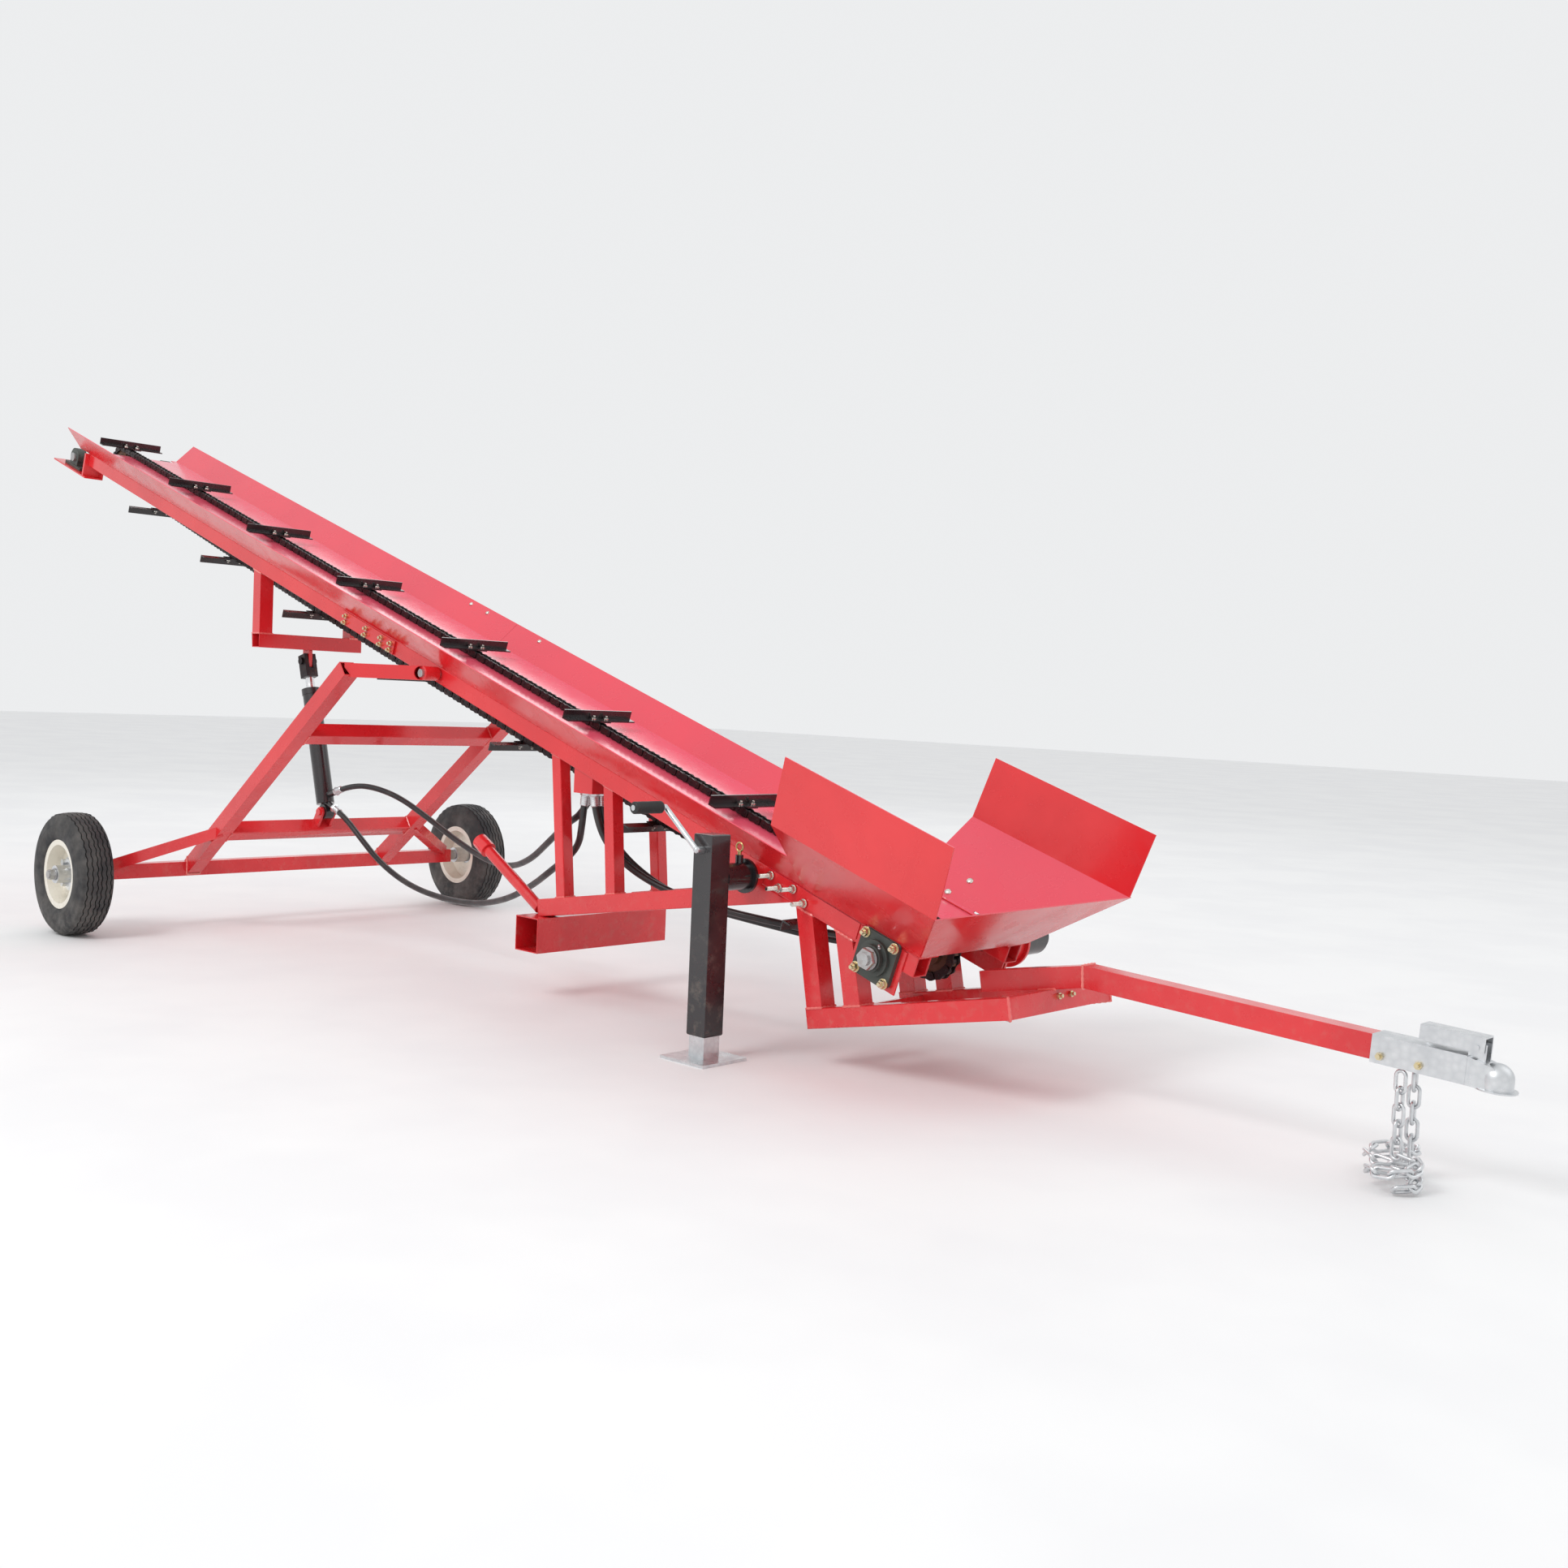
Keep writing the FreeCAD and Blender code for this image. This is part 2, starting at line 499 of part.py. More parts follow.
LATCH_PIN = (248.0, 45.0)
ears = []
for s in (-1, 1):
    a = on_coupler(LATCH_PIN[0] - 16, s * 15, 32)
    ear = bar(a, on_coupler(LATCH_PIN[0] + 16, s * 15, 32), 5, 40)
    ears.append(ear.cut(channel).cut(dome).cut(neck))
pin_a = on_coupler(LATCH_PIN[0], -24, LATCH_PIN[1])
pin_b = on_coupler(LATCH_PIN[0], 24, LATCH_PIN[1])
latch_pin = rod(pin_a, pin_b, 5)
node("coupler_shell", coupler, *[biggest(e.cut(latch_pin)) for e in ears], latch_pin)
lever = prism(on_coupler(138, 0, 0), on_coupler(262, 0, 0),
              [(-22, 36), (-22, 66), (22, 66), (22, 36), (19, 36), (19, 63), (-19, 63), (-19, 36)])
lever_bore = rod(on_coupler(LATCH_PIN[0], -60, LATCH_PIN[1]), on_coupler(LATCH_PIN[0], 60, LATCH_PIN[1]),
                 5 + RUNNING)
node("latch_lever", lever.cut(lever_bore))

# ---- lift bracket, pivots, axle frame -----------------------------------------------------
HANG_X = CYL_TOP[0]
hang_z = CYL_TOP[1] + 67.0
hang_leg = cut_all(tube(V(HANG_X, -RAIL_Y, 1345), V(HANG_X, -RAIL_Y, hang_z + TUBE / 2)), rail_envelopes)
hang_leg = biggest(hang_leg)
hang_bar = tube(V(HANG_X, -RAIL_OUT, hang_z), V(HANG_X, RAIL_OUT, hang_z))
lug = block(HANG_X - 22, -7, CYL_TOP[1] - 20, HANG_X + 22, 7, hang_z - TUBE / 2)
lug = lug.cut(rod(V(HANG_X, -20, CYL_TOP[1]), V(HANG_X, 20, CYL_TOP[1]), PIN_R + 2.8))
node("hanging_bracket", *both(hang_leg), hang_bar, lug)

ARM_Y = RAIL_OUT + 34.0
pivot_pin = rod(V(PIVOT[0], -RAIL_OUT, PIVOT[1]), V(PIVOT[0], -ARM_Y - 34, PIVOT[1]), PIN_R)
node("pivot_pins", *both(pivot_pin))

AXLE_Z = TYRE_R
UP_A, UP_B = V(20, -TRUSS_Y, AXLE_Z + 8), V(1000, -TRUSS_Y, 938)
axle_solid = bar(V(0, -AXLE_HALF, AXLE_Z), V(0, AXLE_HALF, AXLE_Z), TUBE, TUBE, V(1, 0, 0))
node("axle_beam", tube(V(0, -AXLE_HALF, AXLE_Z), V(0, AXLE_HALF, AXLE_Z), TUBE, side=V(1, 0, 0), wall=6.0))
upright = biggest(tube(UP_A, UP_B).cut(axle_solid))
upright_solid = bar(UP_A, UP_B, TUBE, TUBE)


def on_upright(x):
    t = (x - UP_A.x) / (UP_B.x - UP_A.x)
    return UP_A + (UP_B - UP_A) * t


slope = (UP_B - UP_A).normalize()
BAR_IN = TRUSS_Y - TUBE / 2
crossbars = []
for x in (212.0, 705.0):
    c = on_upright(x)
    crossbars.append(tube(V(c.x, -BAR_IN, c.z), V(c.x, BAR_IN, c.z), TUBE, side=slope))
brace_top = on_upright(215)
brace = tube(V(0, -AXLE_HALF + 30, AXLE_Z + 20), V(brace_top.x + 10, -TRUSS_Y, brace_top.z), 38.1,
             side=V(0, 0, 1))
brace = biggest(brace.cut(axle_solid).cut(upright_solid))
node("axle_trusses", *both(upright), *both(brace))
node("axle_crossbars", *crossbars)

BUSH = (ARM_Y - 26, ARM_Y + 26)
bush = ring(V(PIVOT[0], -BUSH[0], PIVOT[1]), V(PIVOT[0], -BUSH[1], PIVOT[1]), 22, PIN_R + RUNNING)
arm = tube(V(UP_B.x - 16, -TRUSS_Y + 8, UP_B.z - 4), V(PIVOT[0], -ARM_Y, PIVOT[1]), TUBE, 44.0)
arm = arm.cut(upright_solid)
arm = arm.cut(rod(V(PIVOT[0], -BUSH[0] + 60, PIVOT[1]), V(PIVOT[0], -BUSH[1] - 80, PIVOT[1]), 22))
arm = arm.cut(block(900, -RAIL_OUT - 0.6, 800, 1400, 0, 1100))
arm = biggest(arm)
node("pivot_arms", *both(arm), *both(bush))

base_bar = on_upright(212.0)
base_bar_solid = bar(V(base_bar.x, -60, base_bar.z), V(base_bar.x, 60, base_bar.z), TUBE, TUBE, slope)
ears = []
for s in (-1, 1):
    eye_at = V(CYL_BASE[0], s * 24, CYL_BASE[1])
    ear = bar(V(base_bar.x, s * 24, base_bar.z), eye_at, 10, 36)
    ear = ear.fuse(rod(eye_at - V(0, 5, 0), eye_at + V(0, 5, 0), 18)).removeSplitter()
    ears.append(biggest(ear.cut(base_bar_solid)))
base_pin = rod(V(CYL_BASE[0], -36, CYL_BASE[1]), V(CYL_BASE[0], 36, CYL_BASE[1]), PIN_R)
node("cylinder_ears", *[biggest(e.cut(base_pin)) for e in ears], base_pin)

# ---- wheels -------------------------------------------------------------------------------
HUB_IN, HUB_OUT = WHEEL_Y - 62, WHEEL_Y + 62
spindle = rod(V(0, -AXLE_HALF + 60, AXLE_Z), V(0, -HUB_OUT - 24, AXLE_Z), SPINDLE_R)
collar = rod(V(0, -AXLE_HALF, AXLE_Z), V(0, -HUB_IN + 1.5, AXLE_Z), 21)
washer = rod(V(0, -HUB_OUT - 1.0, AXLE_Z), V(0, -HUB_OUT - 5, AXLE_Z), 20)
spindle_nut = hexagon(V(0, -HUB_OUT - 5, AXLE_Z), V(0, -HUB_OUT - 20, AXLE_Z), 32)
spindle = spindle.fuse([collar, washer, spindle_nut]).removeSplitter()
node("spindles", *both(spindle))


def revolved(points, y_sign):
    """Turn (axial, radius) points about the axle."""
    corners = [V(0, y_sign * a, AXLE_Z + r) for a, r in points]
    face = Part.Face(Part.makePolygon(corners + corners[:1]))
    return face.revolve(V(0, 0, AXLE_Z), V(0, 1, 0), 360)


def tyre_profile():
    h = TYRE_WIDE / 2
    half = [(43, RIM_R + 1), (51, 112), (h - 1, 140), (h, 158), (h - 4, 178), (50, 196), (40, 204),
            (0, TYRE_R)]
    left = [(WHEEL_Y - a, r) for a, r in half]
    right = [(WHEEL_Y + a, r) for a, r in half[-2::-1]]
    inner = [(WHEEL_Y + a, r) for a, r in ((38, RIM_R + 1), (44, 118), (50, 150), (36, 190), (-36, 190),
                                          (-50, 150), (-44, 118), (-38, RIM_R + 1))]
    return left + right + inner


RIM_POINTS = [(50, RIM_FLANGE_R), (47, RIM_FLANGE_R), (46, RIM_R + 0.2), (0, RIM_R - 9), (-46, RIM_R + 0.2),
              (-47, RIM_FLANGE_R), (-50, RIM_FLANGE_R), (-49, RIM_R - 3), (-4, RIM_R - 12), (0, 60), (-2, 36),
              (3, 36), (5, 62), (4, RIM_R - 12), (49, RIM_R - 3)]
for side, s in (("near", -1), ("far", 1)):
    tyre = revolved(tyre_profile(), s)
    rim = revolved([(WHEEL_Y + a, r) for a, r in RIM_POINTS], s)
    node("tyre_" + side, tyre.cut(rim))
    c = [V(0, s * y, AXLE_Z) for y in (HUB_IN, HUB_OUT, WHEEL_Y + 2.4, WHEEL_Y + 12)]
    hub = rod(c[0], c[1], 30).fuse(rod(c[2], c[3], 58))
    hub = hub.cut(rod(c[0] - V(0, s * 9, 0), c[1] + V(0, s * 9, 0), SPINDLE_R + RUNNING))
    for i in range(4):
        a = (i + 0.5) * pi / 2
        at = V(50.8 * cos(a), s * (WHEEL_Y + 12), AXLE_Z + 50.8 * sin(a))
        hub = hub.fuse(hexagon(at, at + V(0, s * 12, 0), 20))
    rim = rim.cut(hub)
    stem = rod(V(0, s * (WHEEL_Y + 30), AXLE_Z + RIM_R - 17),
               V(0, s * (WHEEL_Y + 58), AXLE_Z + RIM_R - 26), 4)
    rim = rim.fuse(stem.cut(rim)).removeSplitter()
    node("rim_" + side, biggest(rim))
    node("hub_" + side, hub.removeSplitter())

# ---- lift cylinder ------------------------------------------------------------------------
B, T = V(CYL_BASE[0], 0, CYL_BASE[1]), V(CYL_TOP[0], 0, CYL_TOP[1])
axis = (T - B).normalize()
CLOSED = (T - B).Length


def on_cyl(s):
    return B + axis * s


BORE_R, ROD_R = 25.4, 16.0
eye = rod(V(B.x, -17, B.z), V(B.x, 17, B.z), 27).fuse(rod(on_cyl(10), on_cyl(48), 16.5))
barrel = ring(on_cyl(48), on_cyl(440), 31.8, BORE_R).fuse(rod(on_cyl(30), on_cyl(50), 31.8))
gland = ring(on_cyl(440), on_cyl(462), 34, ROD_R + RUNNING)
ports = [rod(on_cyl(58), V(316, 0, 500), 12), rod(on_cyl(42), V(303, 0, 438), 12)]
bores = rod(on_cyl(49.5), on_cyl(441), BORE_R)
barrel = barrel.fuse([eye, gland] + ports).cut(bores).cut(rod(on_cyl(400), on_cyl(480), ROD_R + RUNNING))
barrel = barrel.cut(rod(V(B.x, -40, B.z), V(B.x, 40, B.z), PIN_R + RUNNING)).removeSplitter()
node("cylinder_barrel", biggest(barrel))
piston = rod(on_cyl(90), on_cyl(122), BORE_R - 0.3)
rod_piece = piston.fuse(rod(on_cyl(110), on_cyl(CLOSED - 50), ROD_R)).removeSplitter()
node("cylinder_rod", rod_piece)
clevis_body = bar(on_cyl(CLOSED - 62), on_cyl(CLOSED + 24), 46, 44)
clevis_body = clevis_body.cut(bar(on_cyl(CLOSED - 30), on_cyl(CLOSED + 40), 16, 80))
clevis_body = clevis_body.cut(rod(on_cyl(CLOSED - 80), on_cyl(CLOSED - 50), ROD_R))
top_pin = rod(V(T.x, -31, T.z), V(T.x, 31, T.z), PIN_R)
node("rod_clevis", biggest(clevis_body.cut(top_pin)), top_pin)

# ---- jack ---------------------------------------------------------------------------------
STUB_R = 28.5
STUB_END = -RAIL_OUT - 92.0
stub = ring(V(JACK_X, -RAIL_OUT, JACK_AXIS_Z), V(JACK_X, STUB_END, JACK_AXIS_Z), STUB_R, STUB_R - 5)
node("jack_stub", stub)
JACK_TOP = 558.0
JACK_LOW = 62.0
half = JACK_TUBE / 2
jack_tube = tube(V(JACK_X, JACK_Y, JACK_LOW), V(JACK_X, JACK_Y, JACK_TOP), JACK_TUBE, wall=4.0)
cap = block(JACK_X - half, JACK_Y - half, JACK_TOP, JACK_X + half, JACK_Y + half, JACK_TOP + 4)
crank_hole = rod(V(JACK_X, JACK_Y - 60, JACK_TOP - 34), V(JACK_X, JACK_Y + 20, JACK_TOP - 34), 9 + RUNNING)
node("jack_tube", jack_tube.fuse(cap).removeSplitter().cut(crank_hole))


def on_stub(y, up=0.0):
    """A point on the swivel stub's axis, y inboard of its outer end."""
    return V(JACK_X, STUB_END + y, JACK_AXIS_Z + up)


stub_outer = JACK_Y + half - STUB_END
sleeve = rod(on_stub(54), on_stub(stub_outer), STUB_R + 6)
flange = rod(on_stub(54), on_stub(46), 44)
pin_boss = rod(on_stub(28, STUB_R + 2), on_stub(28, 54), 10)
pin_way = rod(on_stub(28), on_stub(28, 99), 5 + RUNNING)
bracket = sleeve.fuse([flange, pin_boss]).cut(rod(on_stub(-0.5), on_stub(200), STUB_R + RUNNING))
node("jack_bracket", bracket.cut(pin_way).removeSplitter())
pull_pin = rod(on_stub(28, STUB_R + 0.4), on_stub(28, 62), 5)
pull_ring = Part.makeTorus(11, 2.5, on_stub(28, 74), V(0, 1, 0))
node("jack_pull_pin", pull_pin.fuse(pull_ring).removeSplitter())

INNER = JACK_TUBE - 10.5
jack_leg = tube(V(JACK_X, JACK_Y, 8), V(JACK_X, JACK_Y, 500), INNER, wall=4.0)
screw_nut = bar(V(JACK_X, JACK_Y, 470), V(JACK_X, JACK_Y, 490), INNER - 8, INNER - 8)
foot_plate = block(JACK_X - 76, JACK_Y - 76, 0, JACK_X + 76, JACK_Y + 76, 8)
node("jack_leg", jack_leg.fuse([screw_nut.cut(jack_leg), foot_plate]).removeSplitter())

CRANK_Z = JACK_TOP - 34
crank_face = JACK_Y - half
ARM_OFF = V(-118, 0, 96)
c0 = V(JACK_X, crank_face - 20, CRANK_Z)
crank_shaft = rod(V(JACK_X, JACK_Y - 12, CRANK_Z), c0, 9)
crank_arm = rod(c0, c0 + ARM_OFF, 7).fuse([Part.makeSphere(9, c0), Part.makeSphere(7, c0 + ARM_OFF)])
c1 = c0 + ARM_OFF
crank_pin = rod(c1, c1 - V(0, 108, 0), 7)
node("jack_crank", crank_shaft.fuse([crank_arm, crank_pin]).removeSplitter())
node("crank_grip", ring(c1 - V(0, 14, 0), c1 - V(0, 106, 0), 16, 7 + RUNNING))

# ---- hydraulic motor on the far end of the drive shaft ------------------------------------
D = bed(DRIVE_U, 0, SHAFT_W)
MOUNT_Y = BORE_OUT + 36.0
mount_ring = ring(V(D.x, MOUNT_Y, D.z), V(D.x, MOUNT_Y + 60, D.z), 62, 54)
mount_plate = ring(V(D.x, MOUNT_Y + 60, D.z), V(D.x, MOUNT_Y + 68, D.z), 72, 42)
plate_square = bar(V(D.x, MOUNT_Y, D.z), V(D.x, MOUNT_Y + 8, D.z), BEARING, BEARING,
                   V(sin(BED_ANGLE), 0, cos(BED_ANGLE)))
plate_square = plate_square.cut(rod(V(D.x, MOUNT_Y - 5, D.z), V(D.x, MOUNT_Y + 20, D.z), 54))
node("motor_mount", plate_square.fuse([mount_ring, mount_plate]).removeSplitter())
motor_y = MOUNT_Y + 68.0
pilot = rod(V(D.x, motor_y - 8, D.z), V(D.x, motor_y, D.z), 41.2)
motor_face = rod(V(D.x, motor_y, D.z), V(D.x, motor_y + 20, D.z), 56)
motor_body = rod(V(D.x, motor_y + 20, D.z), V(D.x, motor_y + 118, D.z), 48)
motor_cap = rod(V(D.x, motor_y + 118, D.z), V(D.x, motor_y + 130, D.z), 42)
port_block = block(D.x - 74, motor_y + 24, D.z - 34, D.x - 30, motor_y + 74, D.z + 34)
node("hydraulic_motor", pilot.fuse([motor_face, motor_body, motor_cap, port_block]).removeSplitter())
coupling = ring(V(D.x, RAIL_OUT + 44, D.z), V(D.x, MOUNT_Y + 59, D.z), 27, SHAFT_R)
node("drive_shaft", drive_shaft, coupling)

# ---- prop tube, hose clamp ----------------------------------------------------------------
prop_a, prop_b = V(1720, -RAIL_Y + 10, 255), V(1462, -RAIL_Y + 10, 402)
fork_solid = bar(V(1758, -252, 188.5), V(1758, 252, 188.5), FORK_TUBE, FORK_TUBE, V(1, 0, 0))
prop = rod(prop_a, prop_b, 17).cut(fork_solid).cut(sill_solid)
cap_dir = (prop_b - prop_a).normalize()
prop_cap = rod(prop_b + cap_dir * 0.1, prop_b + cap_dir * 52, 24)
node("prop_tube", biggest(prop), prop_cap)

CLAMP_X0, CLAMP_X1 = 1890.0, 1970.0
CLAMP_LOW = 610.0
clamp = block(CLAMP_X0, -RAIL_OUT + 6, CLAMP_LOW, CLAMP_X1, -136, 700).cut(rail_envelopes[0])
node("hose_clamp", biggest(cut_all(clamp, rear_legs)))

# ---- hoses --------------------------------------------------------------------------------
HOSE = 20.0


def hose(name, points):
    """A free hose: straight runs joined by arcs as large as the runs allow."""
    points = [V(*p) for p in points]
    edges, radii, start = [], [], points[0]
    for before, at, after in zip(points, points[1:], points[2:]):
        into, out = (at - before), (after - at)
        turn = into.getAngle(out)
        trim = 0.45 * min(into.Length, out.Length)
        radii.append(trim / tan(turn / 2))
        a, b = at - into.normalize() * trim, at + out.normalize() * trim
        inward = (b - at).normalize() + (a - at).normalize()
        centre = at + inward.normalize() * (radii[-1] / cos(turn / 2))
        mid = centre + (at - centre).normalize() * radii[-1]
        edges += [Part.LineSegment(start, a).toShape(), Part.Arc(a, mid, b).toShape()]
        start = b
    edges.append(Part.LineSegment(start, points[-1]).toShape())
    path = Part.Wire(edges)
    section = Part.Wire(Part.makeCircle(HOSE / 2, points[0], points[1] - points[0]))
    solid = path.makePipeShell([section], True, False)
    ratio = solid.Volume / (pi * HOSE ** 2 / 4 * path.Length)
    print(name, "length", round(path.Length), "radii", [round(r) for r in radii], "volume", round(ratio, 4))
    node(name, solid)


CLAMP_PORTS = [(x, y, CLAMP_LOW) for x in (1912.0, 1948.0) for y in (-178.0, -150.0)]
# The lift hoses start 0.6 mm off the cylinder's port faces, because the cylinder tilts.
hose("hose_lift_rod", [(316.6, 0, 500.2), (393, 0, 522.4), (490, 22, 532), (630, 52, 504), (790, 68, 440),
                       (960, 70, 375), (1150, 48, 332), (1340, 4, 328), (1510, -50, 372), (1660, -104, 442),
                       (1780, -136, 508), (1870, -150, 548), CLAMP_PORTS[1]])
hose("hose_lift_base", [(303.6, 0, 437.8), (372.4, 0, 412.3), (450, 12, 350), (575, 24, 262), (750, 32, 200),
                        (950, 32, 179), (1160, 12, 188), (1370, -30, 230), (1560, -80, 298),
                        (1720, -126, 372), (1836, -134, 440), (1898, -174, 525), CLAMP_PORTS[0]])
hose("hose_motor_feed", [CLAMP_PORTS[2], (1952, -170, 535), (1985, -132, 440), (2080, -64, 360),
                         (2240, 2, 312), (2420, 80, 284), (2600, 165, 264), (2755, 258, 252),
                         (2880, 326, 262), (2968, 356, 286)])
hose("hose_motor_return", [CLAMP_PORTS[3], (1954, -150, 545), (1990, -108, 440), (2070, -18, 345),
                           (2190, 54, 296), (2340, 124, 268), (2500, 206, 238), (2680, 292, 228),
                           (2815, 358, 252), (2905, 376, 292), (2968, 380, 318)])

# ---- safety chains ------------------------------------------------------------------------
LINK_WIRE, LINK_IN, LINK_PITCH, LINK_HALF = 7.5, 36.5, 33.0, 10.5


def link(at, along, roll_axis):
    """A welded oval link: two straight sides and two half-round ends."""
    straight = LINK_IN / 2 + LINK_WIRE / 2 - LINK_HALF
    along = V(along).normalize()
    across = roll_axis - along * roll_axis.dot(along)
    across.normalize()
    corners = [at + along * (straight * p) + across * (LINK_HALF * q)
               for p, q in ((-1, 1), (1, 1), (1, -1), (-1, -1))]
    tips = [at + along * (s * (straight + LINK_HALF)) for s in (1, -1)]
    path = Part.Wire([Part.LineSegment(corners[0], corners[1]).toShape(),
                      Part.Arc(corners[1], tips[0], corners[2]).toShape(),
                      Part.LineSegment(corners[2], corners[3]).toShape(),
                      Part.Arc(corners[3], tips[1], corners[0]).toShape()])
    section = Part.Wire(Part.makeCircle(LINK_WIRE / 2, corners[0], along))
    return path.makePipeShell([section], True, False)


HANG_TOP = on_coupler(116, 0, 0)
HEAP_R, HEAP_PITCH, HEAP_LINKS = 42.0, 32.0, 12
HEAP_TOP, HEAP_LOW, HEAP_DROP = 56.0, 14.6, 3.8    # the first and the lowest link, the fall per link


def heap_z(i):
    """Height of a link of the heap: a spiral that comes down to the ground."""
    return max(HEAP_LOW, HEAP_TOP - i * HEAP_DROP)


def safety_chain(y, heading, turn):
    """A strand that hangs from the coupler and winds down into a small heap on the ground."""
    ahead = V(cos(heading), sin(heading), 0)
    aside = V(-sin(heading), cos(heading), 0)
    at = V(HANG_TOP.x + y / 4, y, HANG_TOP.z - 56)
    made = []
    while at.z > 62:
        made.append(link(at, V(0, 0, -1), aside if len(made) % 2 else ahead))
        at = at - V(0, 0, LINK_PITCH)
    centre = V(at.x, at.y, 0) + ahead * 22 + aside * (turn * HEAP_R)
    for i in range(HEAP_LINKS):
        a = heading + turn * (i * HEAP_PITCH / HEAP_R - pi / 2)
        radial = V(cos(a), sin(a), 0)
        spot = centre + radial * HEAP_R + V(0, 0, heap_z(i))
        along = V(-sin(a) * turn, cos(a) * turn, (heap_z(i + 1) - heap_z(i - 1)) / HEAP_PITCH / 2)
        lean = V(0, 0, 0.5 if i == 0 else 1.0)
        made.append(link(spot, along, radial + lean if i % 2 else radial - lean))
    return made


links = safety_chain(-22.0, -0.18, -1) + safety_chain(22.0, 1.69, 1)
node("safety_chains", *links)

# ---- fasteners ----------------------------------------------------------------------------
fasteners = []
for du in (-270, -140, -45, 12):
    for dw in (-38, -16):
        fasteners += both(bolt(bed(SPLICE_U + du, -RAIL_OUT - 6, dw), V(0, -1, 0), 10, 15))
for u, w in ((HOPPER_U0 - 112, -14), (HOPPER_U0 - 76, -32), (HOPPER_U0 - 30, -14), (HOPPER_U0 + 15, -32)):
    fasteners += both(bolt(bed(u, -RAIL_OUT - 6.3, w), V(0, -1, 0), 10, 22))
for u in (DRIVE_U - 46, DRIVE_U + 46):
    for dw in (-46, 46):
        fasteners += both(bolt(bed(u, -BORE_OUT - 13, SHAFT_W + dw), V(0, -1, 0), 11, 18))
for y in (-12.0, 38.0):
    face = V(BASE_B.x, y, BASE_B.z) + BASE_DIR * (TUBE / 2) + BASE_UP * 9
    fasteners.append(bolt(face, V(BASE_DIR), 9, 13))
for along_coupler in (70.0, 147.0):
    fasteners += both(bolt(on_coupler(along_coupler, -CHANNEL / 2, -14), V(0, -1, 0), 9, 13))
node("frame_fasteners", *fasteners)

for name, solids in NODES.items():
    shape = Part.makeCompound([s.translated(V(SHIFT_X, 0, 0)) for s in solids])
    if len(solids) == 1:
        shape = solids[0].translated(V(SHIFT_X, 0, 0))
    shape.exportStep("parts/" + name + ".step")
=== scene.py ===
import bmesh
import bpy
import json
from math import cos, pi, radians, sin, sqrt, tau
from mathutils import Matrix, Vector


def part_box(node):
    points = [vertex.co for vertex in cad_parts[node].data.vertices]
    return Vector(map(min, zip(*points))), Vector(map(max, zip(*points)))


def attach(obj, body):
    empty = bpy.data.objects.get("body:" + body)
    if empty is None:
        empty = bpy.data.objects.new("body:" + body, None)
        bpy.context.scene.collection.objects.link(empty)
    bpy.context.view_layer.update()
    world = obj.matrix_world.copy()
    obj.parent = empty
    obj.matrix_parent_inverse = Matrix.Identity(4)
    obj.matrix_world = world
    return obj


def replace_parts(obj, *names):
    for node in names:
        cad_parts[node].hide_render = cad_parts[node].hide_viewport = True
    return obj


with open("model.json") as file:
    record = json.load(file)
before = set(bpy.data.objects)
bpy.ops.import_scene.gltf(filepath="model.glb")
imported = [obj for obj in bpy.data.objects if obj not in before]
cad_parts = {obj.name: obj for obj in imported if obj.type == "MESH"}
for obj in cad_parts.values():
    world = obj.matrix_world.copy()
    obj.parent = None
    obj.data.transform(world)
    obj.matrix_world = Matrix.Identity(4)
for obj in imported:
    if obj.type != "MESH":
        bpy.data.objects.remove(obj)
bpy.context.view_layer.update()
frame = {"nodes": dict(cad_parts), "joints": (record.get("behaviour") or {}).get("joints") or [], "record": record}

# ---- places, worked out from the frame ------------------------------------------------------
JOINTS = {joint["name"]: joint for joint in frame["joints"]}
RATIO = {c["joint"]: c["ratio"] for c in frame["record"]["behaviour"]["couplings"]}
DRIVE = Vector(JOINTS["drive_spin"]["pos_m"])
TAIL = Vector(JOINTS["tail_spin"]["pos_m"])
AXLE = Vector(JOINTS["wheel_near_spin"]["pos_m"])
DOWN = (DRIVE - TAIL).normalized()          # down the bed's slope
UP = Vector((-DOWN.z, 0, DOWN.x))           # square to the bed
ACROSS = Vector((0, 1, 0))
PITCH_R = RATIO["chain_up_slide"]
TEETH = 16
PITCH = 2 * PITCH_R * sin(pi / TEETH)
SPAN = (DRIVE - TAIL).length
LINKS = round(SPAN / PITCH)
SAG = 0.034                                 # of the return run
CHAIN_W = 0.015                             # chain centre above the rails' top plane
DRIVE_U = 3.222                             # the drive shaft's place down the bed
TAIL_U = DRIVE_U - SPAN
FLIGHTS = 7
FLIGHT_PITCH = 26 * PITCH
FIRST_FLIGHT_U = -1.480
RAIL_Y = 0.1846                             # centre plane of each rail
RAIL_OUT = 0.210                            # outer face of each rail
TUBE = 0.0508
LEG_TUBE = 0.0381
BED_ZERO = DRIVE - DOWN * DRIVE_U - UP * (CHAIN_W - PITCH_R)


def at(x, y, z):
    """A point x ahead of the axle, y across and z above the ground."""
    return Vector((AXLE.x + x, y, z))


def bed(u, y, w):
    """A point u down the bed, y across and w square to it."""
    return BED_ZERO + DOWN * u + ACROSS * y + UP * w


# ---- materials ------------------------------------------------------------------------------
def shader(name, colour, roughness, metallic=0.0, coat=0.0):
    """A new material: (its node tree, its principled shader)."""
    material = bpy.data.materials.new(name)
    material.use_nodes = True
    tree = material.node_tree
    body = tree.nodes["Principled BSDF"]
    body.inputs["Base Color"].default_value = (*colour, 1)
    body.inputs["Roughness"].default_value = roughness
    body.inputs["Metallic"].default_value = metallic
    body.inputs["Coat Weight"].default_value = coat
    body.inputs["Coat Roughness"].default_value = 0.12
    return material, tree, body


